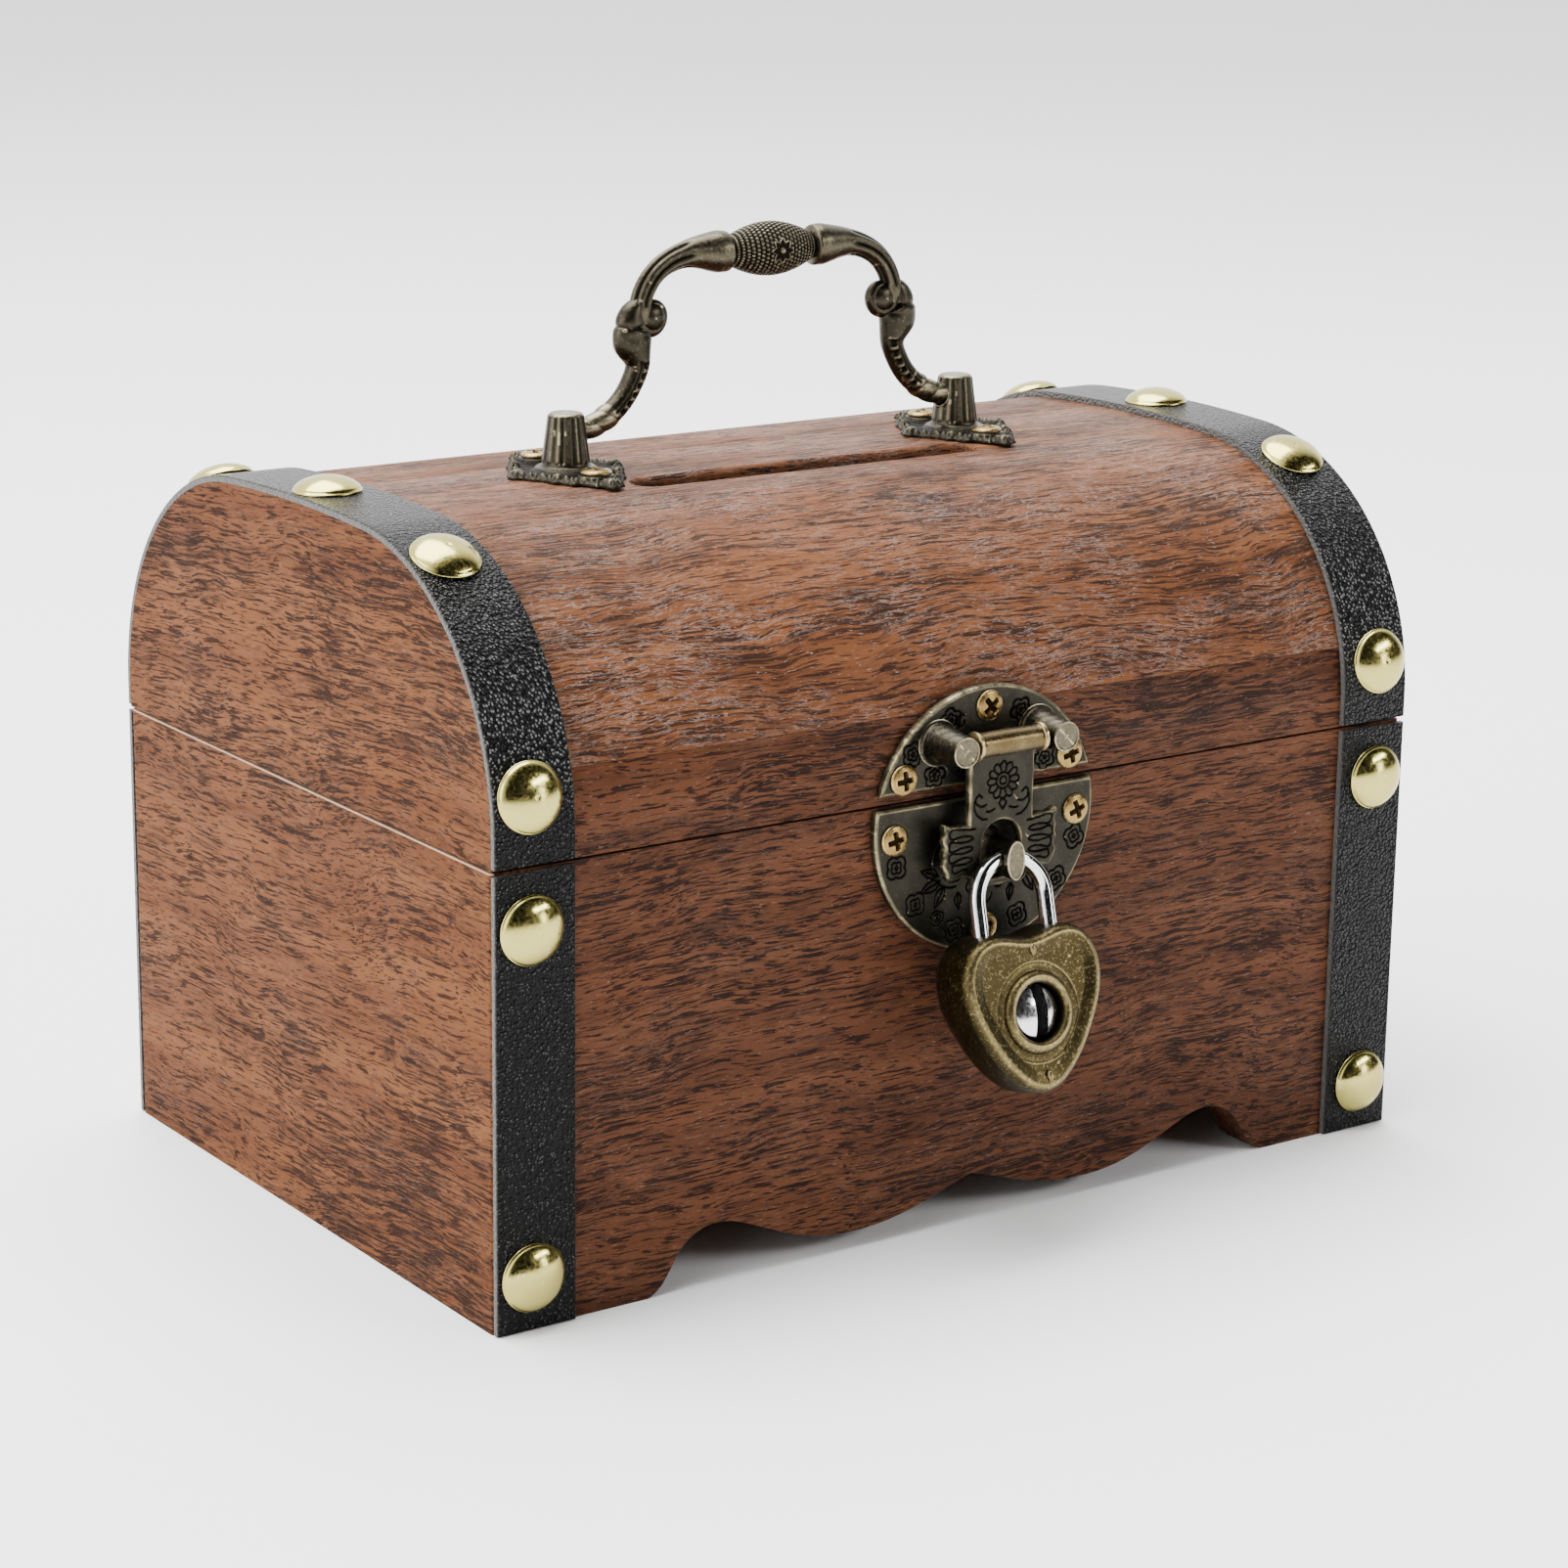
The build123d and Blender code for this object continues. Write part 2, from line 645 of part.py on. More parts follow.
# ---- handle ----
def handle_mount(side):
    """Lozenge cast foot with knobbed corners, and the tapered pillar on it."""
    x = HANDLE_X + side * MOUNT_X
    with BuildPart() as mount:
        with BuildSketch(Plane.XY.offset(MOUNT_Z)):
            with Locations((x, HANDLE_Y)):
                Polygon(
                    (-MOUNT_HALF_X + 1, 0),
                    (0, -MOUNT_HALF_Y + 1),
                    (MOUNT_HALF_X - 1, 0),
                    (0, MOUNT_HALF_Y - 1),
                    align=None,
                )
            for dx, dy in ((1, 0), (-1, 0), (0, 1), (0, -1)):
                reach_x = dx * (MOUNT_HALF_X - 1.3)
                reach_y = dy * (MOUNT_HALF_Y - 1.3)
                with Locations((x + reach_x, HANDLE_Y + reach_y)):
                    Circle(1.3)
        extrude(amount=MOUNT_T)
        with BuildSketch(Plane.XY.offset(MOUNT_Z + MOUNT_T)):
            with Locations((x, HANDLE_Y)):
                Circle(PILLAR_BASE_R)
        with BuildSketch(Plane.XY.offset(PILLAR_TOP_Z)):
            with Locations((x, HANDLE_Y)):
                Circle(PILLAR_TOP_R)
        loft()
        # blind hole that faces the other pillar
        with Locations((x - side * 3.0, HANDLE_Y, BAIL_Z)):
            Cylinder(BAIL_HOLE_R, 7.0, rotation=(0, 90, 0), mode=Mode.SUBTRACT)
        drill([p for p in MOUNT_SCREWS if p.origin.X * side > 0], SCREW_HOLE_R, 3)
    return mount


handle_mount_left = handle_mount(-1)
save(handle_mount_left, "handle_mount_left")
handle_mount_right = handle_mount(1)
save(handle_mount_right, "handle_mount_right")

with BuildPart() as handle_screws:
    with Locations(*MOUNT_SCREWS):
        add(screw())
save(handle_screws, "handle_screws")

BAIL_PLANE = Plane(origin=(HANDLE_X, HANDLE_Y, 0), x_dir=(1, 0, 0), z_dir=(0, -1, 0))
BAIL_END = MOUNT_X - 0.4


def bail_side(side):
    """One side of the bail: pivot stub, bent lower arm, scrolls, bent upper arm, cup."""
    with BuildPart() as arm:
        with BuildLine(BAIL_PLANE) as lower:
            elbow = (side * (LOWER_X + LOWER_BEND), BAIL_Z)
            Line((side * BAIL_END, BAIL_Z), elbow)
            JernArc(elbow, (-side, 0), LOWER_BEND, -side * 90)
            Line(lower.line @ 1, (side * LOWER_X, 116.0))
        with BuildSketch(Plane(origin=lower.line @ 0, z_dir=lower.line % 0)):
            Circle(BAIL_R)
        sweep(path=lower.line)
        with BuildLine(BAIL_PLANE) as upper:
            start = (side * UPPER_X, GRIP_Z - UPPER_BEND)
            Line((side * UPPER_X, 117.0), start)
            JernArc(start, (0, 1), UPPER_BEND, side * 90)
            Line(upper.line @ 1, (side * (GRIP_HALF - 0.5), GRIP_Z))
        with BuildSketch(Plane(origin=upper.line @ 0, z_dir=upper.line % 0)):
            Circle(ARM_R)
        sweep(path=upper.line)
        for x, z, r, thick in SCROLLS:
            with Locations((HANDLE_X + side * x, HANDLE_Y, z)):
                Cylinder(r, thick, rotation=(90, 0, 0))
        with Locations((HANDLE_X + side * CUP_X, HANDLE_Y, GRIP_Z)):
            Sphere(CUP_R, rotation=(0, 90, 0))
    return arm.part


with BuildPart() as grip:
    with BuildSketch(BAIL_PLANE):
        with BuildLine():
            end = (GRIP_HALF, GRIP_Z + 1.8)
            Line((-GRIP_HALF, GRIP_Z), (GRIP_HALF, GRIP_Z))
            Line((GRIP_HALF, GRIP_Z), end)
            ThreePointArc(end, (0, GRIP_Z + GRIP_R), (-GRIP_HALF, GRIP_Z + 1.8))
            Line((-GRIP_HALF, GRIP_Z + 1.8), (-GRIP_HALF, GRIP_Z))
        make_face()
    revolve(axis=Axis((0, HANDLE_Y, GRIP_Z), (1, 0, 0)))

with BuildPart() as handle_bail:
    add(grip.part)
    add(bail_side(1))
    add(bail_side(-1))
save(handle_bail, "handle_bail")


# ---- back hinges ----
def hinge_leaves(side):
    """Both leaves of one side of the joint: -1 for the box, +1 for the lid."""
    with BuildPart() as leaves:
        for hx in (-HINGE_X, HINGE_X):
            z_mid = SEAM_Z + side * (LEAF_GAP + LEAF_H / 2)
            with Locations((hx, HALF_D + GLUE + LEAF_T / 2, z_mid)):
                Box(HINGE_W, LEAF_T, LEAF_H)
            # web from the leaf to its knuckles, two outside for the box, one between
            spans = [(-1, 6.0), (1, 6.0)] if side < 0 else [(0, 5.6)]
            for spot, length in spans:
                with Locations((hx + spot * 6.0, HINGE_AXIS_Y, SEAM_Z)):
                    Cylinder(KNUCKLE_R, length, rotation=(0, 90, 0))
                web_z = SEAM_Z + side * LEAF_GAP / 2
                with Locations((hx + spot * 6.0, HALF_D + GLUE + LEAF_T / 2, web_z)):
                    Box(length, LEAF_T, LEAF_GAP)
        with Locations(*[(hx, HINGE_AXIS_Y, SEAM_Z) for hx in (-HINGE_X, HINGE_X)]):
            Cylinder(HINGE_HOLE_R, 30, rotation=(0, 90, 0), mode=Mode.SUBTRACT)
        drill(HINGE_BOX_SCREWS if side < 0 else HINGE_LID_SCREWS, SMALL_HOLE_R, 2)
    return leaves


save(hinge_leaves(-1), "hinge_box_leaves")
save(hinge_leaves(1), "hinge_lid_leaves")

with BuildPart() as hinge_pins:
    with Locations(*[(hx, HINGE_AXIS_Y, SEAM_Z) for hx in (-HINGE_X, HINGE_X)]):
        Cylinder(HINGE_PIN_R, HINGE_W, rotation=(0, 90, 0))
save(hinge_pins, "hinge_pins")

with BuildPart() as hinge_box_screws:
    with Locations(*HINGE_BOX_SCREWS):
        add(screw(SMALL_HEAD_R, 0.7, 4.0))
save(hinge_box_screws, "hinge_box_screws")
with BuildPart() as hinge_lid_screws:
    with Locations(*HINGE_LID_SCREWS):
        add(screw(SMALL_HEAD_R, 0.7, 4.0))
save(hinge_lid_screws, "hinge_lid_screws")
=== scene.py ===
import bpy
import json
from math import acos, atan2, cos, pi, radians, sin, sqrt
import numpy as np
from mathutils import Matrix, Vector


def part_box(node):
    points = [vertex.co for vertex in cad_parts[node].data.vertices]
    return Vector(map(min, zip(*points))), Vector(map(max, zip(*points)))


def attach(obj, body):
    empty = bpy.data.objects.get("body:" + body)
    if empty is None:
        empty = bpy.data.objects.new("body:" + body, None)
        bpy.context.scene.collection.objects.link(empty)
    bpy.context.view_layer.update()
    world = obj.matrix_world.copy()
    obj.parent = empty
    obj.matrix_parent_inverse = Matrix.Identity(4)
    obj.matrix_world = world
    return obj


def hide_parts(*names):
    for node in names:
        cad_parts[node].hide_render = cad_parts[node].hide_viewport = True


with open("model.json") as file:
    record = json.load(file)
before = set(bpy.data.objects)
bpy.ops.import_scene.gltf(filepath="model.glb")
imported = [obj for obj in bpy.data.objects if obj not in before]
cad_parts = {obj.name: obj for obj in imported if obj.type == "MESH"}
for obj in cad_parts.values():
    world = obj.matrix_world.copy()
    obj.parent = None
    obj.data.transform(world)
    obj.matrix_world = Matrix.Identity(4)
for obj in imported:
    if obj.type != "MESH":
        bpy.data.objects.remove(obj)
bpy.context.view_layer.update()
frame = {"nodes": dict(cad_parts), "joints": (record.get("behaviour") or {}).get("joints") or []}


# ---- positions, in millimetres
def low(node):
    return np.array(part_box(node)[0]) * 1000


def high(node):
    return np.array(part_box(node)[1]) * 1000


def centre(node):
    return (low(node) + high(node)) / 2


JOINTS = {j["name"]: j for j in frame["joints"]}
PIN = np.array(JOINTS["flap_swing"]["pos_m"]) * 1000
EYE = np.array(JOINTS["padlock_swing"]["pos_m"]) * 1000
PLUG = np.array(JOINTS["key_turn"]["pos_m"]) * 1000
BAIL = np.array(JOINTS["handle_swing"]["pos_m"]) * 1000
LOCK_OUT = np.array(JOINTS["key_turn"]["axis"])
LOCK_UP = -np.array(JOINTS["padlock_release"]["axis"])
X, Y, Z = np.eye(3)
PLATE_Y = low("hasp_lower_plate")[1]
HALF_D = 50.0             # the box is 100 mm deep
GLUE = 0.02               # film under straps and plates
STRAP_T = 0.9
SHOULDER_R, SHOULDER_Z = 33.5, 64.4
TACK_SHANK = 4.5
HASP_R, HASP_Z = 18.0, 57.0
PLATE_T = 1.2
POST_X = 8.2
FLAP_BACK_Y = -53.4
ROD_R = 1.15              # the shackle's rod
GRIP_Z = 126.7


# ---- mesh helpers
def around(count):
    """Angles evenly round a full turn."""
    return np.linspace(0, 2 * pi, count, endpoint=False)


def run_along(line):
    """Distance along a polyline at each of its points, by the first two columns."""
    return np.r_[0, np.cumsum(np.linalg.norm(np.diff(line[:, :2], axis=0), axis=1))]


def capped(values, ends=(0, 0)):
    """Marks of a skin: one per ring point, then those of the middles of its two caps."""
    return np.r_[np.ravel(values), ends]


def unit(vector):
    return vector / np.linalg.norm(vector)


def spline(points, count):
    """Smooth curve through points, spaced evenly by the first two columns."""
    p = np.array(points, float)
    t = run_along(p)
    h = np.diff(t)
    n = len(t)
    a = np.zeros((n, n))
    b = np.zeros(p.shape)
    a[0, 0] = a[-1, -1] = 1
    for i in range(1, n - 1):
        a[i, i - 1:i + 2] = h[i - 1], 2 * (h[i - 1] + h[i]), h[i]
        b[i] = 6 * ((p[i + 1] - p[i]) / h[i] - (p[i] - p[i - 1]) / h[i - 1])
    m = np.linalg.solve(a, b)
    s = np.linspace(0, t[-1], count)
    k = np.clip(np.searchsorted(t, s) - 1, 0, n - 2)
    f = ((t[k + 1] - s) / h[k])[:, None]
    g = 1 - f
    bend = ((f**3 - f) * m[k] + (g**3 - g) * m[k + 1]) * (h[k] ** 2)[:, None] / 6
    return f * p[k] + g * p[k + 1] + bend


def step(x, a, b):
    """Smooth 0 to 1 as x goes from a to b."""
    t = np.clip((x - a) / (b - a), 0, 1)
    return t * t * (3 - 2 * t)


def added(name, data):
    """Object in the scene that shows this data."""
    ob = bpy.data.objects.new(name, data)
    bpy.context.scene.collection.objects.link(ob)
    return ob


def mesh(name, verts, faces, mat, body, slot, replaces=(), sharp=40, **marks):
    """Object from vertices in millimetres; marks are per-vertex values the materials read."""
    me = bpy.data.meshes.new(name)
    v = np.asarray(verts, float).reshape(-1, 3)
    me.from_pydata((v / 1000).tolist(), [], [list(map(int, f)) for f in faces])
    me.polygons.foreach_set("use_smooth", [True] * len(me.polygons))
    tris = np.array([[f[0], f[i], f[i + 1]] for f in faces for i in range(1, len(f) - 1)])
    a, b, c = v[tris[:, 0]], v[tris[:, 1]], v[tris[:, 2]]
    if np.einsum("ij,ij->i", a, np.cross(b, c)).sum() < 0:
        me.flip_normals()
    me.set_sharp_from_angle(angle=radians(sharp))
    for key, value in marks.items():
        at = me.attributes.new(key, "FLOAT", "POINT")
        at.data.foreach_set("value", np.asarray(value, np.float32).ravel())
    me.materials.append(mat)
    ob = added(name, me)
    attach(ob, body)
    if replaces:
        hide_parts(*replaces)
    return ob


def skin(rings, caps=True):
    """Vertices and faces over a stack of closed rings."""
    n, m, _ = rings.shape
    i, j = np.meshgrid(np.arange(n - 1), np.arange(m), indexing="ij")
    a, b = i * m + j, i * m + (j + 1) % m
    faces = np.stack([a, b, b + m, a + m], -1).reshape(-1, 4).tolist()
    verts = rings.reshape(-1, 3)
    if caps:
        faces += [[(k + 1) % m, k, n * m] for k in range(m)]
        faces += [[(n - 1) * m + k, (n - 1) * m + (k + 1) % m, n * m + 1] for k in range(m)]
        verts = np.vstack([verts, rings[0].mean(0), rings[-1].mean(0)])
    return verts, faces


def join(parts):
    """One vertex and face list from several."""
    verts, faces, base = [], [], 0
    for v, f in parts:
        verts.append(v)
        faces += [[i + base for i in face] for face in f]
        base += len(v)
    return np.vstack(verts), faces


def lathe(profile, origin, axis, side, sides=64, shape=None):
    """Rings of a turned piece: profile is (radius, distance along axis)."""
    axis, side = np.array(axis, float), np.array(side, float)
    other = np.cross(axis, side)
    p = np.array(profile, float)
    phi = around(sides)
    r = np.repeat(p[:, :1], sides, 1)
    s = np.repeat(p[:, 1:2], sides, 1)
    if shape is not None:
        r = r + shape(s, phi[None, :])
    c, q = np.cos(phi)[None, :, None], np.sin(phi)[None, :, None]
    return np.array(origin) + s[..., None] * axis + r[..., None] * (c * side + q * other)


def tube(place, stations, count, sides, shape=None):
    """Rings along flat stations (u, w, radius in the plane, radius out of it)."""
    st = spline(stations, count)
    t = np.gradient(st[:, :2], axis=0)
    t /= np.linalg.norm(t, axis=1)[:, None]
    phi = around(sides)[None, :]
    s = run_along(st)[:, None]
    k = 1 if shape is None else 1 + shape(s, phi)
    flat = st[:, 2:3] * np.cos(phi) * k
    deep = st[:, 3:4] * np.sin(phi) * k
    return place(st[:, :1] - t[:, 1:] * flat, st[:, 1:2] + t[:, :1] * flat, deep)


def placing(origin, u, w, v):
    """Maps plane coordinates and depth to space."""
    origin, u, w, v = (np.array(d, float) for d in (origin, u, w, v))

    def place(a, b, c):
        a, b, c = (np.asarray(d, float)[..., None] for d in (a, b, c))
        return origin + a * u + b * w + c * v

    return place


def nearest(points, line, closed=True):
    """Distance to a polyline, the nearest point on it, and how far along that lies."""
    a = np.array(line, float)
    b = np.roll(a, -1, 0) if closed else a[1:]
    a = a if closed else a[:-1]
    d = b - a
    length = np.maximum(np.linalg.norm(d, axis=1), 1e-9)
    run = np.r_[0, np.cumsum(length)[:-1]]
    best = np.full(len(points), 1e9)
    foot = np.zeros((len(points), 2))
    along = np.zeros(len(points))
    for i in range(len(a)):
        t = np.clip(((points - a[i]) @ d[i]) / length[i] ** 2, 0, 1)
        q = a[i] + t[:, None] * d[i]
        r = np.linalg.norm(points - q, axis=1)
        better = r < best
        best[better], foot[better] = r[better], q[better]
        along[better] = run[i] + t[better] * length[i]
    return best, foot, along


def inside(points, line):
    """Which points lie within a closed polyline."""
    a = np.array(line, float)
    b = np.roll(a, -1, 0)
    hit = np.zeros(len(points), bool)
    x, y = points[:, 0], points[:, 1]
    for (x0, y0), (x1, y1) in zip(a, b):
        if y0 != y1:
            hit ^= ((y0 > y) != (y1 > y)) & (x < (x1 - x0) * (y - y0) / (y1 - y0) + x0)
    return hit


def relief(outline, height, place, back=0.0, grid=0.14, holes=()):
    """Closed cast plate. height(u, w, distance in from the edge, distance along it)
    gives the front surface and the marks soot and rub; back is the depth of its back.
    Returns vertices, faces and both marks."""
    out = np.array(outline, float)
    lo, hi = out.min(0), out.max(0)
    us = np.arange(lo[0] - grid, hi[0] + 2 * grid, grid)
    ws = np.arange(lo[1] - grid, hi[1] + 2 * grid, grid)
    gu, gw = np.meshgrid(us, ws, indexing="ij")
    p = np.stack([gu.ravel(), gw.ravel()], 1)
    nu, nw = gu.shape
    idx = np.arange(nu * nw).reshape(nu, nw)
    quads = np.stack([idx[:-1, :-1], idx[1:, :-1], idx[1:, 1:], idx[:-1, 1:]], -1).reshape(-1, 4)
    mid = p[quads].mean(1)
    keep = inside(mid, out)
    for h in holes:
        keep &= ~inside(mid, h)
    quads = quads[keep]
    used = np.unique(quads)
    count = np.bincount(quads.ravel(), minlength=len(p))
    rim = used[count[used] < 4]
    lines = [out] + [np.array(h, float) for h in holes]
    found = [nearest(p[rim], ln) for ln in lines]
    pick = np.argmin([f[0] for f in found], 0)
    for k in range(len(lines)):
        p[rim[pick == k]] = found[k][1][pick == k]
    new = np.full(len(p), -1)
    new[used] = np.arange(len(used))
    p, quads = p[used], new[quads]
    measured = [nearest(p, ln) for ln in lines]
    best = np.argmin([m[0] for m in measured], 0)
    d = np.choose(best, [m[0] for m in measured])
    along = np.choose(best, [m[2] for m in measured])
    h, soot, rub = height(p[:, 0], p[:, 1], d, along)
    n = len(p)
    front = place(p[:, 0], p[:, 1], h)
    rear = place(p[:, 0], p[:, 1], back)
    edges = {}
    for q in quads:
        for a, b in zip(q, np.roll(q, -1)):
            edges[(a, b)] = edges.get((a, b), 0) + 1
    wall = [[b, a, a + n, b + n] for (a, b) in edges if (b, a) not in edges]
    faces = quads.tolist() + (quads[:, ::-1] + n).tolist() + wall
    return np.vstack([front, rear]), faces, np.r_[soot, soot * 0], np.r_[rub, rub * 0]


def cast(name, shape, mat, body, slot, node, sharp=40):
    """Object from a relief, which stands in for one node."""
    v, f, soot, rub = shape
    return mesh(name, v, f, mat, body, slot, [node], sharp=sharp, soot=soot, rub=rub)


# ---- materials
class Mat:
    """A material's node tree, built from short calls."""

    def __init__(self, name):
        self.m = bpy.data.materials.new(name)
        self.m.use_nodes = True
        self.t = self.m.node_tree
        self.t.nodes.clear()
        self.out = self.t.nodes.new("ShaderNodeOutputMaterial")
        self.bsdf = self.t.nodes.new("ShaderNodeBsdfPrincipled")
        self.t.links.new(self.bsdf.outputs[0], self.out.inputs[0])
        self.co = self.t.nodes.new("ShaderNodeTexCoord").outputs["Object"]

    def put(self, socket, value):
        if isinstance(value, bpy.types.NodeSocket):
            self.t.links.new(value, socket)
        elif value is not None:
            socket.default_value = value

    def math(self, op, a, b=None, clamp=False):
        n = self.t.nodes.new("ShaderNodeMath")
        n.operation, n.use_clamp = op, clamp
        self.put(n.inputs[0], a)
        self.put(n.inputs[1], b)
        return n.outputs[0]

    def add(self, a, b, clamp=False):
        return self.math("ADD", a, b, clamp)

    def sub(self, a, b):
        return self.math("SUBTRACT", a, b)

    def mul(self, a, b):
        return self.math("MULTIPLY", a, b)

    def larger(self, a, b):
        return self.math("MAXIMUM", a, b)

    def size(self, a):
        return self.math("ABSOLUTE", a)

    def vec(self, op, a, b):
        n = self.t.nodes.new("ShaderNodeVectorMath")
        n.operation = op
        self.put(n.inputs[0], a)
        self.put(n.inputs[1], b)
        return n.outputs[0]

    def turn(self, vector, angles):
        n = self.t.nodes.new("ShaderNodeMapping")
        self.put(n.inputs["Vector"], vector)
        n.inputs["Rotation"].default_value = angles
        return n.outputs[0]

    def noise(self, vector, scale, detail, rough=0.55):
        n = self.t.nodes.new("ShaderNodeTexNoise")
        self.put(n.inputs["Vector"], vector)
        for key, value in (("Scale", scale), ("Detail", detail), ("Roughness", rough)):
            n.inputs[key].default_value = value
        return n.outputs["Fac"]

    def stretched(self, vector, along, across, detail, rough=0.55):
        """Noise drawn out along X."""
        return self.noise(self.vec("MULTIPLY", vector, (along, across, across)), 1, detail, rough)

    def cells(self, vector, scale, smooth):
        n = self.t.nodes.new("ShaderNodeTexVoronoi")
        n.feature = "SMOOTH_F1"
        self.put(n.inputs["Vector"], vector)
        n.inputs["Scale"].default_value = scale
        n.inputs["Smoothness"].default_value = smooth
        return n.outputs["Distance"]

    def ramp(self, value, a, b, low=0.0, high=1.0):
        n = self.t.nodes.new("ShaderNodeMapRange")
        n.interpolation_type = "SMOOTHSTEP"
        self.put(n.inputs["Value"], value)
        for key, v in (("From Min", a), ("From Max", b), ("To Min", low), ("To Max", high)):
            n.inputs[key].default_value = v
        return n.outputs[0]

    def mix(self, factor, a, b):
        n = self.t.nodes.new("ShaderNodeMix")
        n.data_type = "RGBA"
        self.put(n.inputs[0], factor)
        self.put(n.inputs[6], (*a, 1) if isinstance(a, tuple) else a)
        self.put(n.inputs[7], (*b, 1) if isinstance(b, tuple) else b)
        return n.outputs[2]

    def mark(self, name):
        n = self.t.nodes.new("ShaderNodeAttribute")
        n.attribute_name = name
        return n.outputs["Fac"]

    def geometry(self, output):
        return self.t.nodes.new("ShaderNodeNewGeometry").outputs[output]

    def split(self, vector):
        """The X, Y and Z of a vector."""
        n = self.t.nodes.new("ShaderNodeSeparateXYZ")
        self.put(n.inputs[0], vector)
        return n.outputs

    def bump(self, height, strength, distance, over=None):
        n = self.t.nodes.new("ShaderNodeBump")
        self.put(n.inputs["Height"], height)
        n.inputs["Strength"].default_value = strength
        n.inputs["Distance"].default_value = distance / 1000
        self.put(n.inputs["Normal"], over)
        return n.outputs[0]

    def finish(self, colour, rough, normal=None, metal=0.0, **fixed):
        b = self.bsdf.inputs
        self.put(b["Base Color"], (*colour, 1) if isinstance(colour, tuple) else colour)
        self.put(b["Roughness"], rough)
        self.put(b["Normal"], normal)
        self.put(b["Metallic"], metal)
        for key, value in fixed.items():
            b[key.replace("_", " ")].default_value = value
        return self.m


def wood(name, tones, turn=(0, 0, 0), flecks=0.4, sheen_wisps=0.5, shift=0.0, gloss=0.07, pale_mark=None):
    """Stained open-grained wood; the grain runs along X after turn. tones are the light and
    dark ground, the pores and the pale tone of its flecks and of painted sheen wisps;
    pale_mark is the height in mm of a thin pale line along the seam."""
    light, dark, deep, pale = tones
    m = Mat(name)
    p = m.turn(m.vec("MULTIPLY", m.co, (1000, 1000, 1000)), turn)
    p = m.vec("ADD", p, (shift, shift * 1.7, shift * 0.6))
    wave = m.stretched(p, 0.020, 0.03, 2)
    ripple = m.stretched(p, 0.10, 0.14, 2)
    lift = m.add(m.mul(wave, 8.0), m.mul(ripple, 1.5))
    comb = m.t.nodes.new("ShaderNodeCombineXYZ")
    m.put(comb.inputs[1], lift)
    m.put(comb.inputs[2], lift)
    g = m.vec("ADD", p, comb.outputs[0])
    band = m.stretched(g, 0.018, 0.22, 5, 0.6)
    coarse = m.stretched(g, 0.12, 1.0, 4, 0.62)
    streak = m.stretched(g, 0.14, 2.0, 3, 0.6)
    pore = m.stretched(g, 0.30, 4.0, 2, 0.5)
    patch = m.mul(m.sub(m.stretched(p, 0.04, 0.10, 3), 0.5), 0.30)
    tone = m.mix(m.ramp(band, 0.30, 0.70), light, dark)
    wide = m.ramp(m.add(coarse, patch), 0.50, 0.62)
    tone = m.mix(m.mul(wide, 0.45), tone, deep)
    line = m.ramp(m.add(streak, patch), 0.53, 0.58)
    tone = m.mix(m.mul(line, 0.85), tone, deep)
    pit = m.ramp(m.add(pore, m.mul(patch, 0.5)), 0.56, 0.61)
    tone = m.mix(m.mul(pit, 0.9), tone, deep)
    # painted sheen: thin pale wisps along the grain in patches, strongest on the top where light glances off
    # the shoulder; the pale flecks are the wood's own
    where = m.ramp(m.stretched(p, 0.045, 0.09, 3), 0.40, 0.62)
    sheen_wisp = m.stretched(g, 0.24, 1.9, 4, 0.65)
    sheen_wisp = m.ramp(m.size(m.sub(sheen_wisp, 0.5)), 0.005, 0.028, 1.0, 0.0)
    dust = m.ramp(m.stretched(g, 0.9, 4.6, 2, 0.6), 0.64, 0.70)
    white = m.larger(m.mul(sheen_wisp, m.mul(where, sheen_wisps)), m.mul(dust, flecks))
    tone = m.mix(white, tone, pale)
    # a thin pale line along the seam between lid and box, on the outer faces of the ends
    if pale_mark is not None:
        xyz = m.split(m.co)
        near = m.size(m.sub(xyz[2], pale_mark / 1000))
        outer = m.ramp(m.size(xyz[0]), 0.0744, 0.0747)
        tone = m.mix(m.mul(outer, m.ramp(near, 0.00012, 0.0003, 0.7, 0.0)), tone, (0.50, 0.33, 0.22))
    rough = m.ramp(streak, 0.3, 0.75, 0.46, 0.66)
    rise = m.sub(m.sub(m.mul(streak, 0.5), m.mul(pit, 0.8)), m.mul(line, 0.35))
    return m.finish(tone, rough, m.bump(rise, 0.6, 0.09), Specular_IOR_Level=gloss)


def metal(name, base, bright, rough=0.34, soil=0.6, fleck=0.25, wear=0.0, grain=0.03,
          edge=(0.53, 0.60), speckle=(0.56, 0.70)):
    """Cast or drawn metal: base is its toned skin, bright where it is rubbed."""
    m = Mat(name)
    p = m.vec("MULTIPLY", m.co, (1000, 1000, 1000))
    cloud = m.noise(p, 0.35, 4, 0.6)
    speck = m.noise(p, 2.6, 4, 0.7)
    soot, rub = m.mark("soot"), m.mark("rub")
    corner = m.ramp(m.geometry("Pointiness"), *edge)
    show = m.add(m.mul(corner, 0.9), rub)
    show = m.mul(show, m.ramp(speck, 0.30, 0.62, 0.45, 1.0))
    show = m.add(show, m.mul(m.ramp(speck, *speckle), fleck), clamp=True)
    show = m.add(show, m.mul(m.ramp(cloud, 0.4, 0.7), wear), clamp=True)
    tone = m.mix(m.ramp(cloud, 0.3, 0.7, 0.0, soil), base, tuple(c * 0.45 for c in base))
    tone = m.mix(show, tone, bright)
    hollow = m.larger(soot, m.ramp(m.geometry("Pointiness"), 0.47, 0.42, 0, 0.75))
    tone = m.mix(hollow, tone, tuple(c * 0.06 for c in base))
    r = m.add(m.ramp(speck, 0.3, 0.7, rough - 0.05, rough + 0.12), m.mul(hollow, 0.35))
    n = m.bump(m.add(speck, m.mul(cloud, 0.6)), 0.5, grain)
    return m.finish(tone, r, n, 1.0)


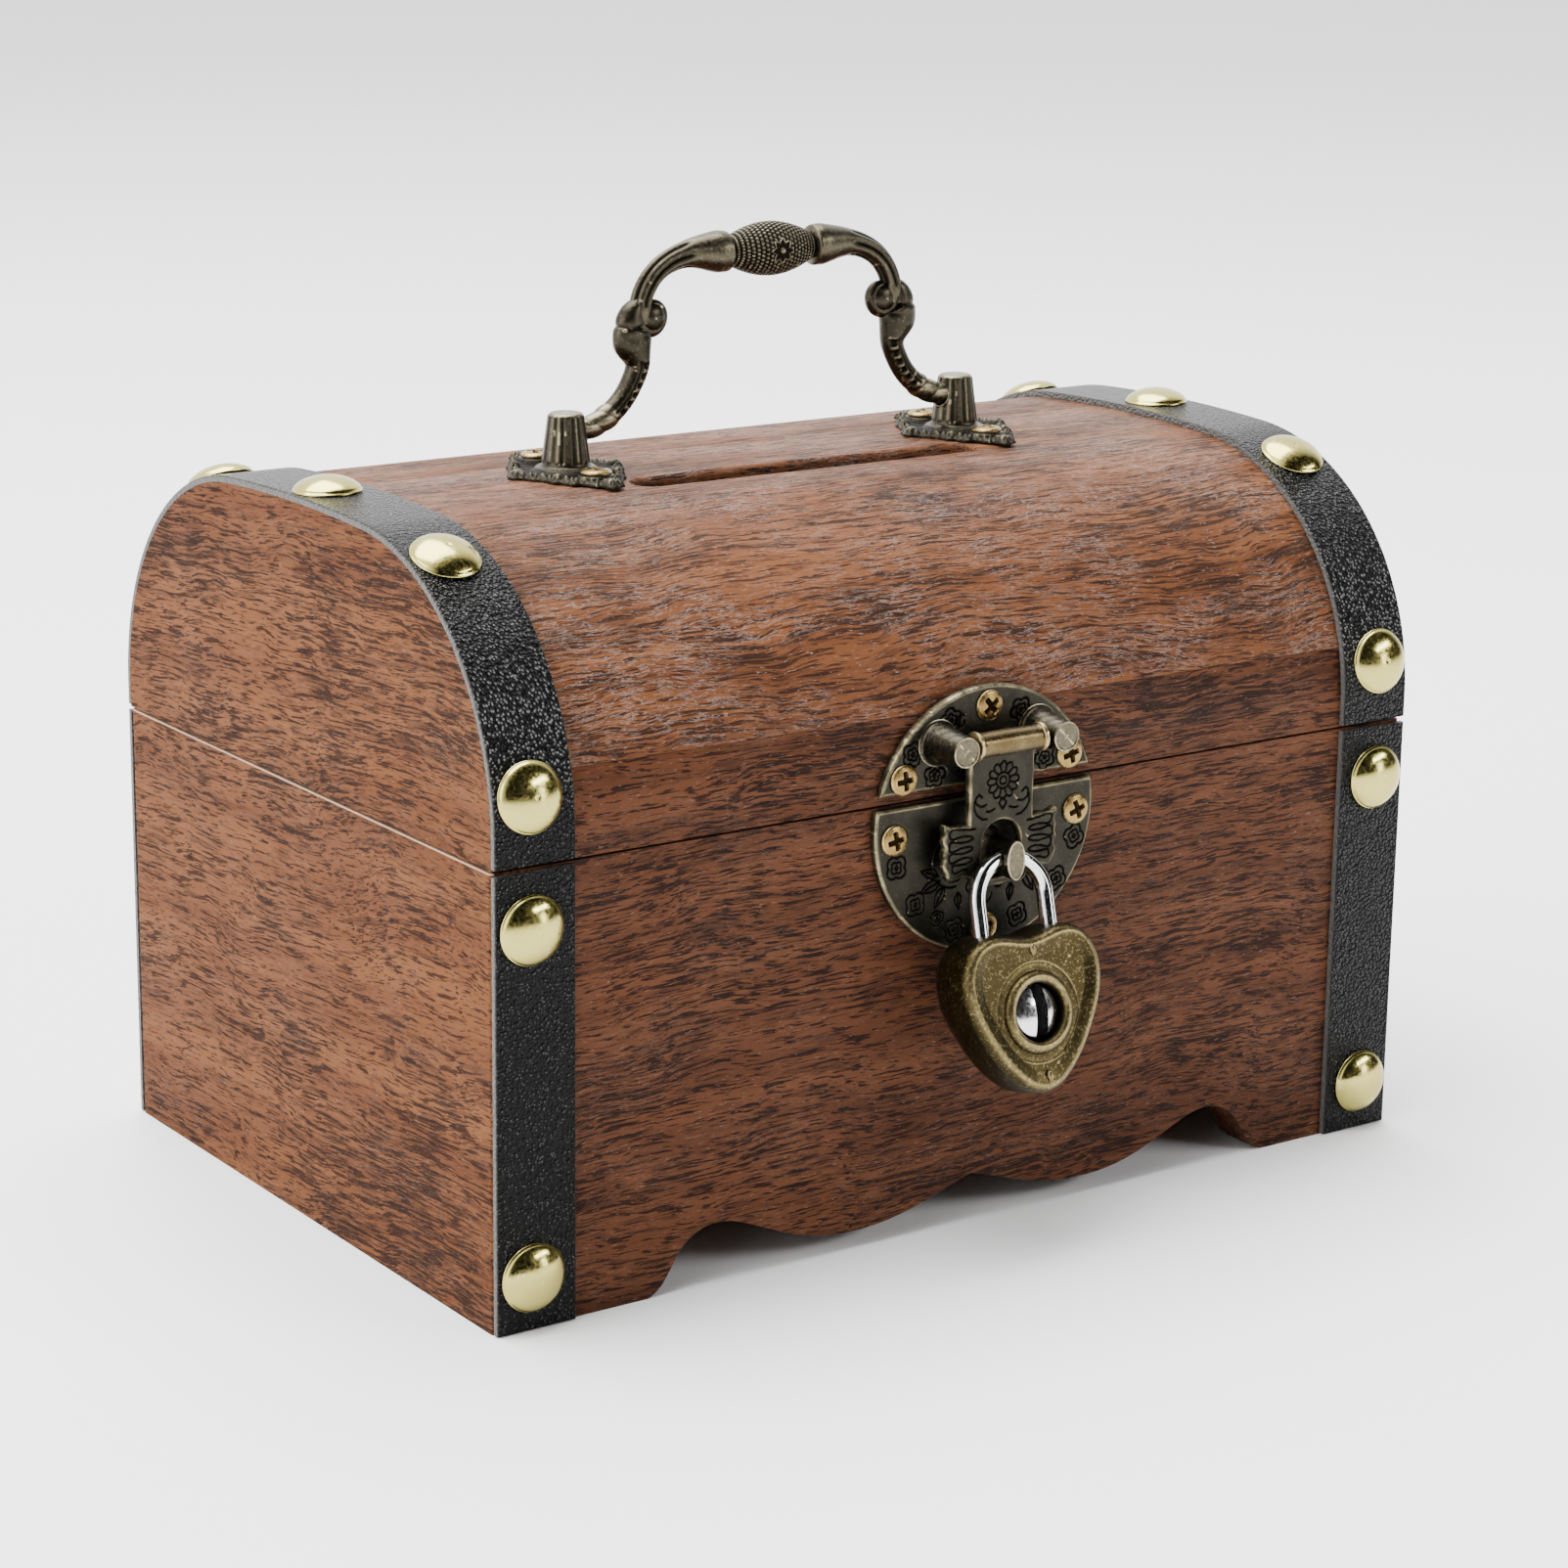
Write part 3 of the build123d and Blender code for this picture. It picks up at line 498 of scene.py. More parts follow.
def leather():
    """Pebbled black leather with a pale cut edge; painted glints on the pebble tops, stronger on faces that
    turn up, and a painted sheen on the pebbles where it bends over the lid's shoulder.
    """
    m = Mat("leather")
    p = m.vec("MULTIPLY", m.co, (1000, 1000, 1000))
    pebble = m.cells(p, 2.1, 0.08)
    tiny = m.noise(p, 3.2, 2)
    rise = m.sub(m.mul(tiny, 0.30), pebble)
    up = m.split(m.geometry("Normal"))[2]
    # painted glints: pale pebble tops, brighter where the surface faces up towards the light
    tip = m.mul(m.ramp(pebble, 0.34, 0.16), m.ramp(m.noise(p, 1.1, 1), 0.35, 0.60, 0.35, 1.0))
    tip = m.mul(tip, m.ramp(up, 0.02, 0.40, 0.45, 1.0))
    tone = m.mix(tip, (0.002, 0.002, 0.002), (0.12, 0.12, 0.12))
    # painted sheen: a band of pale pebbles where the strap bends over the lid's shoulder and catches the light
    shoulder = m.mul(m.ramp(up, 0.03, 0.22), m.ramp(up, 0.66, 0.42))
    pale_mark = m.mul(shoulder, m.ramp(pebble, 0.46, 0.22))
    tone = m.mix(m.mul(pale_mark, 0.5), tone, (0.16, 0.16, 0.16))
    tone = m.mix(m.mark("cut"), tone, (0.085, 0.080, 0.075))
    return m.finish(tone, 0.24, m.bump(rise, 1.0, 0.28), Specular_IOR_Level=0.08)


LEATHER = leather()
# The same wood in three tones: the top is painted lighter and the front and back darker, as painted light and
# shade, with the ends between them.
SIDE_TONES = ((0.098, 0.036, 0.015), (0.060, 0.0205, 0.0085), (0.011, 0.0045, 0.003), (0.20, 0.14, 0.11))
TOP_TONES = ((0.152, 0.057, 0.022), (0.098, 0.034, 0.0125), (0.019, 0.008, 0.0045), (0.26, 0.20, 0.18))
END_TONES = ((0.132, 0.050, 0.0185), (0.088, 0.030, 0.0110), (0.015, 0.006, 0.0035), (0.26, 0.18, 0.14))
INNER_TONES = ((0.17, 0.06, 0.03), (0.11, 0.035, 0.016), (0.04, 0.013, 0.007), (0.3, 0.2, 0.15))
TOP = wood("wood_top", TOP_TONES, flecks=0.5, sheen_wisps=0.6, shift=3, gloss=0.08)
FRONT = wood("wood_front", SIDE_TONES, flecks=0.35, sheen_wisps=0.15, shift=31)
BACKW = wood("wood_back", SIDE_TONES, flecks=0.3, sheen_wisps=0.15, shift=67)
ENDW = wood("wood_end", END_TONES, turn=(0.07, 0, pi / 2), flecks=0.25, sheen_wisps=0.10, shift=11,
            gloss=0.03, pale_mark=high("left_end_panel")[2])
INNER = wood("wood_inner", INNER_TONES, flecks=0.15, shift=90)
BRONZE = metal("antique_bronze", (0.038, 0.033, 0.023), (0.36, 0.31, 0.20), rough=0.32)
FOOT = metal("bronze_foot", (0.026, 0.023, 0.017), (0.33, 0.28, 0.18), rough=0.38, fleck=0.16,
             edge=(0.58, 0.80))
PLATE = metal("bronze_plate", (0.027, 0.025, 0.019), (0.34, 0.29, 0.17), rough=0.40, fleck=0.12,
              edge=(0.56, 0.70))
OLD = metal("padlock_brass", (0.038, 0.029, 0.011), (0.36, 0.285, 0.13), rough=0.33, fleck=0.34,
            wear=0.05, edge=(0.54, 0.66), speckle=(0.53, 0.64))
TACK = metal("tack_brass", (0.47, 0.41, 0.125), (0.62, 0.55, 0.23), rough=0.15, soil=0.1, fleck=0.0,
             grain=0.006)
SCREW = metal("screw_brass", (0.21, 0.135, 0.045), (0.48, 0.34, 0.135), rough=0.26, soil=0.3,
              fleck=0.15, wear=0.3)
HINGE = metal("hinge_brass", (0.42, 0.31, 0.12), (0.66, 0.52, 0.26), rough=0.32, soil=0.3, fleck=0.1,
              grain=0.01)
CHROME = metal("chrome", (0.70, 0.70, 0.71), (0.8, 0.8, 0.8), rough=0.06, soil=0.0, fleck=0.0,
               grain=0.002)
PLUG_STEEL = metal("plug_steel", (0.74, 0.74, 0.74), (0.8, 0.8, 0.8), rough=0.15, soil=0.0, fleck=0.0,
                   grain=0.002)

# ---- boards and back hinges: CAD shapes
DRESS = {
    "front_panel": FRONT, "back_panel": BACKW, "left_end_panel": ENDW, "right_end_panel": ENDW,
    "bottom_panel": INNER, "lid_left_end": ENDW, "lid_right_end": ENDW, "lid_front_rail": FRONT,
    "lid_back_rail": BACKW, "lid_top_shell": TOP, "hinge_box_leaves": HINGE, "hinge_lid_leaves": HINGE,
    "hinge_pins": HINGE, "hasp_pin": BRONZE,
}
for node, mat in DRESS.items():
    ob = frame["nodes"][node]
    ob.data.materials.clear()
    ob.data.materials.append(mat)
    weld = ob.modifiers.new("weld", "WELD")
    weld.merge_threshold = 2e-6
    soft = ob.modifiers.new("soft", "BEVEL")
    soft.width = 0.00035 if mat is not HINGE else 0.00015
    soft.segments = 2
    soft.limit_method = "ANGLE"
    soft.angle_limit = radians(50)
    soft.harden_normals = True


# ---- leather straps
def lid_line(lift):
    """Outline of the lid's arch from its front foot to its back foot, lifted outward:
    y, z and the outward direction at each point."""
    foot, apex = low("lid_strap_left")[2], high("lid_left_end")[2]
    sy = HALF_D - SHOULDER_R
    rise = apex - SHOULDER_R
    cz = (rise**2 - sy**2 - SHOULDER_Z**2) / (2 * (rise - SHOULDER_Z))
    meet = atan2(SHOULDER_Z - cz, sy)

    def bend(y, z, r, a, sgn):
        c, s = cos(a), sin(a)
        return (y + sgn * r * c, z + r * s, sgn * c, s)

    pts = [(-HALF_D - lift, z, -1, 0) for z in np.linspace(foot, SHOULDER_Z, 12)[:-1]]
    pts += [bend(-sy, SHOULDER_Z, SHOULDER_R + lift, a, -1) for a in np.linspace(0, meet, 160)[:-1]]
    pts += [bend(0, cz, apex - cz + lift, a, -1) for a in np.linspace(meet, pi - meet, 120)]
    pts += [bend(sy, SHOULDER_Z, SHOULDER_R + lift, a, 1) for a in np.linspace(meet, 0, 160)[1:]]
    pts += [(HALF_D + lift, z, 1, 0) for z in np.linspace(SHOULDER_Z, foot, 12)[1:]]
    return np.array(pts)


def strap_section(x0, x1):
    """Cut edges, rounded corners and flat face of a strap: x, lift, cut mark."""
    r, t = 0.28, STRAP_T
    pts = [(x0, 0.0, 1), (x0, t - r, 1)]
    for a in np.linspace(0.2, pi / 2, 6):
        pts.append((x0 + r - r * cos(a), t - r + r * sin(a), 1 - sin(a)))
    pts += [(x, t, 0) for x in np.linspace(x0 + r, x1 - r, 26)[1:-1]]
    for a in np.linspace(0, pi / 2 - 0.2, 6):
        pts.append((x1 - r + r * sin(a), t - r + r * cos(a), 1 - cos(a)))
    pts += [(x1, t - r, 1), (x1, 0.0, 1)]
    return np.array(pts)


def strap(name, node, path, body):
    """Strap along a path of y, z and outward direction."""
    sec = strap_section(low(node)[0], high(node)[0])
    yz = path[:, None, :2] + path[:, None, 2:] * sec[None, :, 1:2]
    v, f = skin(np.concatenate([np.broadcast_to(sec[None, :, :1], yz.shape[:2] + (1,)), yz], -1))
    marks = capped(np.tile(sec[:, 2], len(path)), (1, 1))
    mesh(name, v, f, LEATHER, body, "leather", [node], cut=marks)


for tag in ("left", "right"):
    strap(f"strap_lid_{tag}", f"lid_strap_{tag}", lid_line(GLUE), "lid")
    for face, sgn in (("front", -1), ("back", 1)):
        node = f"box_strap_{face}_{tag}"
        heights = np.linspace(low(node)[2], high(node)[2], 80)
        path = np.array([(sgn * (HALF_D + GLUE), z, sgn, 0) for z in heights])
        strap(f"strap_{face}_{tag}", node, path, "box")


# ---- tacks
def islands(node):
    """Points of each separate solid of a node."""
    me = frame["nodes"][node].data
    co = np.array([v.co for v in me.vertices]) * 1000
    key = {tuple(np.round(c, 3)): i for i, c in enumerate(co)}
    rep = np.array([key[tuple(np.round(c, 3))] for c in co])
    parent = list(range(len(co)))

    def find(i):
        while parent[i] != i:
            parent[i] = parent[parent[i]]
            i = parent[i]
        return i

    for poly in me.polygons:
        vs = [rep[i] for i in poly.vertices]
        for a in vs[1:]:
            parent[find(a)] = find(vs[0])
    groups = {}
    for i in set(rep.tolist()):
        groups.setdefault(find(i), []).append(i)
    return [co[g] for g in groups.values()]


def head_frames(node, shank):
    """For each headed pin of a node: the centre of the head's underside and its direction."""
    found = []
    for pts in islands(node):
        mid = pts.mean(0)
        best = None
        for axis in np.linalg.svd(pts - mid)[2]:
            for sgn in (1, -1):
                a = axis * sgn
                h = (pts - mid) @ a
                top, bottom = h.max(), h.min()
                r = np.linalg.norm(pts - mid - h[:, None] * a, axis=1)
                low_r = r[h < bottom + 0.3 * (top - bottom)].max()
                if best is None or low_r < best[0]:
                    best = (low_r, a, top, bottom)
        _, a, top, bottom = best
        side = (pts - mid) - ((pts - mid) @ a)[:, None] * a
        centre_line = mid + (side.max(0) + side.min(0)) / 2
        found.append((centre_line + a * (bottom + shank), a))
    return found


def tack(where, axis, seed):
    """Spun domed tack with a rolled rim and a small mark at its centre."""
    side = np.cross(axis, X)
    if np.linalg.norm(side) < 0.1:
        side = np.cross(axis, Z)
    side = unit(side)
    prof = [(4.2, 0.0), (4.9, 0.0), (5.0, 0.10), (5.0, 0.22), (4.93, 0.33), (4.84, 0.36)]
    for r in np.linspace(4.72, 0.02, 34):
        prof.append((r, 0.34 + 1.84 * (sqrt(max(0, 1 - (r / 5.35) ** 2)) - 0.356) / 0.644))
    prof = [(0.92 * r, 0.955 * h) for r, h in prof]   # drawn for a 10 mm head, made 9.2 mm
    rng = np.random.default_rng(seed)
    ph = rng.uniform(0, 6.28, 6)
    off = rng.uniform(-0.12, 0.12, 2)

    def dents(s, phi):
        return 0.012 * np.sin(3 * phi + ph[0]) * np.sin(s * 2 + ph[1])

    rings = lathe(prof, where, axis, side, 72, dents)
    other = np.cross(axis, side)
    flat = rings - np.array(where)
    px, py = flat @ side - off[0], flat @ other - off[1]
    mark = np.exp(-((np.hypot(px, py) / 0.24) ** 2)) * 0.07
    rings = rings - mark[..., None] * axis
    return skin(rings)


for node, body in (("lid_tacks", "lid"), ("box_tacks", "box")):
    parts = [tack(c, a, i) for i, (c, a) in enumerate(head_frames(node, TACK_SHANK))]
    v, f = join(parts)
    mesh(node.replace("tacks", "domed_tacks"), v, f, TACK, body, "tack_brass", [node], sharp=55)


# ---- screws
def circle(r, n=48):
    a = around(n)
    return np.stack([r * np.cos(a), r * np.sin(a)], 1)


def screw_head(where, axis, r, tall, turn):
    """Low domed head with a cross recess."""
    side = unit(np.cross(axis, Z) if abs(axis[2]) < 0.9 else X)
    other = np.cross(axis, side)
    c, s = cos(turn), sin(turn)
    place = placing(where, side * c + other * s, other * c - side * s, axis)

    def height(u, w, d, along):
        rho = np.hypot(u, w)
        dome = tall * (0.52 + 0.48 * (1 - (rho / r) ** 2)) - 0.16 * (1 - step(d, 0, 0.22))
        au, aw = np.abs(u), np.abs(w)
        arm = np.minimum(np.maximum(au / 0.16, aw / 0.60), np.maximum(aw / 0.16, au / 0.60)) / r
        heart = (au + aw) / (0.36 * r)
        cut = np.maximum(1 - step(arm, 0.93, 1.07), 1 - step(heart, 0.9, 1.1))
        rub = 0.8 * (1 - step(d, 0.0, 0.35)) + 0.5 * step(arm, 0.9, 1.05) * (1 - step(arm, 1.1, 1.35))
        return dome - cut * tall * 0.62, cut, rub

    return relief(circle(r), height, place, grid=r / 26)


def screws(name, node, body, r, tall, shank, turns):
    """Every screw of a node: its head, and a stem that fills its hole."""
    parts, soot, rub = [], [], []
    stem_shape = [(0.5 * r, 0.1), (0.5 * r, 0.9 - shank), (0.3 * r, 0.35 - shank), (0.02, 0.05 - shank)]
    for (c, a), t in zip(head_frames(node, shank), turns):
        v, f, s, b = screw_head(c, a, r, tall, t)
        stem = skin(lathe(stem_shape, c, a, unit(np.cross(a, X + 0.3 * Z)), 20))
        plain = np.zeros(len(stem[0]))
        parts += [(v, f), stem]
        soot += [s, plain]
        rub += [b, plain]
    shape = (*join(parts), np.concatenate(soot), np.concatenate(rub))
    cast(name, shape, SCREW, body, "screw_brass", node, sharp=50)


FITTING_SCREW = (2.1, 0.75, 4.6)      # head radius, head height, shank
LEAF_SCREW = (1.5, 0.7, 4.0)
screws("upper_hasp_screws", "hasp_upper_screws", "lid", *FITTING_SCREW, (0.25, 0.7, 0.1))
screws("lower_hasp_screws", "hasp_lower_screws", "box", *FITTING_SCREW, (0.35, 0.6, 0.2))
screws("handle_foot_screws", "handle_screws", "lid", *FITTING_SCREW, (0.3, 1.2, 0.9, 0.1))
screws("back_leaf_screws_box", "hinge_box_screws", "box", *LEAF_SCREW, (0.3, 1.2, 0.9, 0.1))
screws("back_leaf_screws_lid", "hinge_lid_screws", "lid", *LEAF_SCREW, (0.8, 0.2, 1.1, 0.5))

# ---- hasp plates
def front_of(y):
    return placing((0, y, 0), X, Z, -Y)


def engrave(u, w, lines, width=0.13):
    """Depth factor of thin grooves along polylines."""
    p = np.stack([u, w], 1)
    deep = np.zeros(len(u))
    for ln in lines:
        ln = np.array(ln, float)
        near = ((p > ln.min(0) - 1) & (p < ln.max(0) + 1)).all(1)
        if near.any():
            away = nearest(p[near], ln, closed=False)[0]
            deep[near] = np.maximum(deep[near], 1 - step(away, width * 0.55, width * 1.35))
    return deep


def blossom(x, z, r=1.5, turn=0.4, petals=4):
    """Two outlines of a small engraved flower and its heart."""
    a = np.linspace(0, 2 * pi, 64)
    lines = []
    for k in (1.0, 0.52):
        rho = r * k * (0.68 + 0.32 * np.abs(np.cos(petals * (a - turn) / 2)) ** 0.7)
        lines.append(np.stack([x + rho * np.cos(a), z + rho * np.sin(a)], 1))
    a = np.linspace(0, 2 * pi, 12)
    lines.append(np.stack([x + 0.14 * r * np.cos(a), z + 0.14 * r * np.sin(a)], 1))
    return lines


def arc(x, z, r0, r1, a0, a1, n=26):
    """Spiral arc, angles in degrees."""
    a = np.radians(np.linspace(a0, a1, n))
    r = np.linspace(r0, r1, n)
    return np.stack([x + r * np.cos(a), z + r * np.sin(a)], 1)


def chord(z, top):
    """Half-disc outline of one hasp plate, cut along height z."""
    half = acos((z - HASP_Z) / HASP_R)
    if top:
        a = np.linspace(pi / 2 - half, pi / 2 + half, 120)
    else:
        a = np.linspace(pi / 2 + half, 2.5 * pi - half, 150)
    return np.stack([HASP_R * np.cos(a), HASP_Z + HASP_R * np.sin(a)], 1)


BLOOMS_LOW = [(-14.5, 52.3), (-11.3, 46.8), (-4.9, 42.3), (5.6, 42.8), (12.2, 46.8), (15.0, 52.3)]
BLOOMS_UP = [(-12.2, 67.3), (-6.1, 71.0), (5.4, 71.0), (-8.6, 64.0), (9.6, 64.0)]
low_lines = [ln for i, (x, z) in enumerate(BLOOMS_LOW) for ln in blossom(x, z, 1.72, 0.78 + 0.1 * i)]
low_lines += blossom(-7.7, 44.4, 1.1, 0.2, 3)


def leaf(x, z, long, deg):
    """Pointed engraved leaf with its middle vein."""
    c, s = cos(radians(deg)), sin(radians(deg))
    half = [(0, 0), (0.3, 0.22), (0.6, 0.2), (1, 0)]
    shape = half + [(a, -b) for a, b in half[::-1]] + [(0, 0), (0.75, 0)]
    return [(x + long * (a * c - b * s), z + long * (a * s + b * c)) for a, b in shape]


for sx, flip in ((-1, 180), (1, 0)):
    for x, z, long, deg in ((7.6, 50.2, 3.0, 20), (7.3, 49.4, 3.4, -20), (6.6, 48.6, 3.2, -60),
            (4.4, 47.4, 2.4, -95)):
        low_lines.append(leaf(sx * x, z, long, flip + sx * deg))
low_lines += [arc(-5.0, 51.5, 4.2, 3.2, 130, 275), arc(-4.6, 50.6, 3.0, 1.2, 100, 300),
    arc(5.0, 51.5, 4.2, 3.2, 50, -95), arc(4.6, 50.6, 3.0, 1.2, 80, -120)]
low_lines += [arc(0, 47.0, 2.2, 1.4, 200, 340), arc(-2.2, 47.8, 1.1, 0.5, 20, 330),
    arc(2.2, 47.8, 1.1, 0.5, 160, -150)]
up_lines = [ln for i, (x, z) in enumerate(BLOOMS_UP) for ln in blossom(x, z, 1.7, 0.5 * i, 5)]
for sx in (-1, 1):
    up_lines += [arc(sx * 5.0, 65.5, 1.5, 0.5, 90 * sx, 90 * sx + 330),
        arc(sx * 9.6, 66.6, 1.3, 0.5, 0, 300), arc(sx * 4.4, 70.6, 1.0, 0.4, 60, 380)]
    up_lines += [arc(sx * 7.4, 63.9, 1.2, 0.4, 200, -100), arc(sx * 2.6, 67.4, 1.6, 0.6, 10, 240)]


def plate(lines, seed):
    """Hammered face of a hasp plate, engraved with lines."""
    rng = np.random.default_rng(seed)
    k = rng.normal(0, 1, (14, 2)) * 0.9
    ph = rng.uniform(0, 2 * pi, 14)

    def height(u, w, d, along):
        groove = engrave(u, w, lines)
        hammer = sum(np.sin(u * a + w * b + q) for (a, b), q in zip(k, ph)) * 0.008
        edge = step(d, 0.0, 0.35)
        h = PLATE_T - 0.28 * (1 - edge) ** 2 + hammer * edge - 0.16 * groove
        nick = 0.5 + 0.5 * np.sin(along * 1.3 + np.sin(along * 0.7) * 2)
        rub = (1 - step(d, 0.12, 0.5)) * (0.45 + 0.5 * nick)
        return h, groove * 0.95, rub

    return height


for tag, body, lines, seed in (("lower", "box", low_lines, 5), ("upper", "lid", up_lines, 3)):
    node = f"hasp_{tag}_plate"
    cut_z = high(node)[2] if tag == "lower" else low(node)[2]
    shape = relief(chord(cut_z, tag == "upper"), plate(lines, seed), front_of(-HALF_D - GLUE), grid=0.11)
    cast(f"hasp_plate_{tag}", shape, PLATE, body, "antique_bronze", node)

# conical posts that carry the pin
tip_y = low("hasp_upper_plate")[1]
reach = PLATE_Y - tip_y
for i, px in enumerate((-POST_X, POST_X)):
    prof = [(3.15, 0.02), (2.95, 0.10), (2.8, 0.28)]
    prof += [(2.72 - 0.78 * t, 0.32 + (reach - 0.62) * t) for t in np.linspace(0.02, 1, 22)]
    rim = ((1.94, 0.26), (2.03, 0.20), (2.03, 0.08), (1.96, 0.01), (1.86, 0), (1.74, 0.03))
    prof += [(r, reach - drop) for r, drop in rim]
    prof += [(r, reach - 0.10) for r in (1.66, 1.4, 1.1, 0.8, 0.5, 0.25, 0.01)]

    def rough_cast(s, phi, i=i):
        return 0.035 * np.sin(5 * phi + 2.3 * s + i) * np.sin(1.9 * s + 2 * phi) * (s < reach - 0.6) * (s > 0.3)

    rings = lathe(prof, (px, PLATE_Y, PIN[2]), -Y, X, 72, rough_cast)
    if i == 0:
        dent = np.exp(-((np.hypot(rings[..., 0] - px - 0.15, rings[..., 2] - PIN[2]) / 0.3) ** 2))
        rings[..., 1] += dent * 0.12 * (rings[..., 1] < tip_y + 0.3)
    v, f = skin(rings)
    s = np.array(prof)[:, 1]
    rubbed = np.exp(-(((np.array(prof)[:, 0] - 1.98) / 0.12) ** 2)) * (s > reach - 0.3) * 0.85
    rub = capped(np.repeat(np.maximum(rubbed, (s > reach - 0.15) * 0.22), 72), (0, 0.22))
    mesh(f"hasp_post_{i}", v, f, BRONZE, "lid", "antique_bronze", rub=rub)

# ---- flap
half = [(0, 68.3), (5.3, 68.3), (5.3, 64.0), (5.25, 60.0), (5.3, 57.6)]
wing = spline([(5.3, 57.4), (6.6, 57.6), (8.0, 57.5), (9.25, 57.9), (9.35, 57.3), (9.1, 56.5), (9.33, 55.6),
    (9.05, 54.8), (9.35, 54.0), (9.1, 53.1), (9.3, 52.3), (8.9, 51.4), (8.3, 50.2), (7.4, 50.2),
    (6.0, 50.55), (5.2, 50.35), (4.7, 50.0), (4.4, 49.3), (3.9, 48.75), (2.2, 48.6), (0.2, 48.6)], 110)
half = np.vstack([half, wing, [(0, 48.6)]])
flap_outline = np.vstack([half, (half * (-1, 1))[::-1][1:-1]])
a = np.linspace(0, pi, 24)
flap_hole = np.vstack([np.stack([3.2 * np.cos(a), 54.3 + 3.2 * np.sin(a)], 1), [(-3.2, 49.8)],
    [(3.2, 49.8)]])
flap_lines = []
petal = np.linspace(0, 2 * pi, 120)
rho = 2.05 + 0.55 * np.abs(np.cos(6 * petal))
flap_lines.append(np.stack([0.1 + rho * np.cos(petal), 62.9 + rho * np.sin(petal)], 1))
flap_lines += [arc(0.1, 62.9, 0.55, 0.55, 0, 360, 16), arc(0.1, 62.9, 1.1, 1.1, 0, 360, 24)]
for k in range(12):
    t = k * pi / 6 + pi / 12
    flap_lines.append([(0.1 + r * cos(t), 62.9 + r * sin(t)) for r in (1.1, 2.05)])
flap_lines += [[(0.1, 60.6), (-0.5, 59.9), (0.1, 59.0), (0.7, 59.9), (0.1, 60.6)]]
for sx in (-1, 1):
    flap_lines += [
        [(sx * x, z) for x, z in ((3.3, 61.0), (3.9, 61.5), (4.35, 61.0), (4.2, 60.2), (3.4, 59.7),
            (2.6, 59.9))],
        [(sx * x, z) for x, z in ((4.5, 60.6), (4.55, 59.6), (4.1, 58.7), (3.2, 58.0), (2.4, 57.9))],
        [(sx * x, z) for x, z in ((1.2, 59.2), (2.0, 58.9), (2.6, 59.0))],
        spline([(sx * x, z) for x, z in ((4.3, 56.9), (6.6, 57.1), (8.4, 57.0), (8.3, 56.2), (6.4, 56.1),
            (4.6, 55.7), (6.4, 55.3), (8.5, 55.3), (8.5, 54.5), (6.6, 54.6), (4.6, 54.3), (6.4, 53.8),
            (8.4, 53.7), (8.3, 52.9), (6.4, 53.1), (4.6, 52.8), (6.2, 52.3), (8.0, 52.1), (7.8, 51.4),
            (6.3, 51.6), (5.2, 51.5))], 150),
    ]


def flap_height(u, w, d, along):
    groove = engrave(u, w, flap_lines, 0.12)
    edge = step(d, 0.0, 0.3)
    wave = 0.10 * np.sin(w * 2.1) * step(np.abs(u), 5, 7)
    h = PLATE_T - 0.25 * (1 - edge) ** 2 - 0.17 * groove + wave
    rub = (1 - step(d, 0.1, 0.42)) * (0.55 + 0.35 * np.sin(along * 1.7))
    return h, groove * 0.95, rub


shape = relief(flap_outline, flap_height, front_of(FLAP_BACK_Y), grid=0.12, holes=[flap_hole])
cast("hasp_butterfly_flap", shape, PLATE, "flap", "antique_bronze", "hasp_flap")
prof = [(0.95, -5.6), (1.80, -5.6), (1.95, -5.5), (1.98, -5.25), (1.9, -5.0), (1.72, -4.9), (1.66, -4.7)]
prof += [(1.68 + 0.03 * cos(t), t * 1.4) for t in np.linspace(-3.2, 3.2, 30)]
prof += [(1.66, 4.7), (1.72, 4.9), (1.9, 5.0), (1.98, 5.25), (1.95, 5.5), (1.80, 5.6), (0.95, 5.6)]
v, f = skin(lathe(prof, PIN, X, Z, 64))
BARREL = metal("barrel_brass", (0.085, 0.060, 0.026), (0.38, 0.29, 0.14), rough=0.30, fleck=0.2, wear=0.2)
rub = capped(np.repeat((np.abs(np.array(prof)[:, 1]) > 4.95) * 0.8, 64))
mesh("hasp_flap_barrel", v, f, BARREL, "flap", "antique_bronze", rub=rub)


# ---- staple
def oval(a, b, y):
    t = around(72)
    return np.stack([a * np.cos(t), np.full(len(t), y), EYE[2] + b * np.sin(t)], 1)


tip = low("hasp_staple")[1]
rings = [oval(2.9, 3.5, PLATE_Y), oval(2.75, 3.4, PLATE_Y - 0.3), oval(2.3, 3.15, PLATE_Y - 0.9)]
rings += [oval(1.8, 2.9, PLATE_Y - 1.8), oval(1.55, 2.75, PLATE_Y - 2.8)]
rings += [oval(1.42, 2.68, y) for y in np.linspace(PLATE_Y - 3.6, tip + 0.5, 24)]
rings += [oval(1.45, 2.70, tip + 0.30), oval(1.45, 2.70, tip + 0.12), oval(1.36, 2.60, tip)]
rings += [oval(1.22, 2.45, tip + 0.03), oval(1.14, 2.36, tip + 0.14)]
rings += [oval(1.14 * k, 2.36 * k, tip + 0.12) for k in (0.8, 0.5, 0.2)]
v, f = skin(np.array(rings))
ys = np.array([r[0, 1] for r in rings])
flat = np.arange(len(rings)) >= len(rings) - 4
rub = np.where(flat, 0.22, (1 - step(ys, tip + 0.06, tip + 0.5)) * 0.75)
rub = capped(np.repeat(rub, 72), (0, 0.22))
staple = mesh("hasp_staple_post", v, f, BRONZE, "box", "antique_bronze", ["hasp_staple"], rub=rub)
EYE_R = 1.45
cv, cf = skin(lathe([(EYE_R, -5), (EYE_R, 5)], EYE, X, Z, 48))
cutter = bpy.data.meshes.new("cutter")
cutter.from_pydata((cv / 1000).tolist(), [], cf)
cutter_ob = added("cutter", cutter)
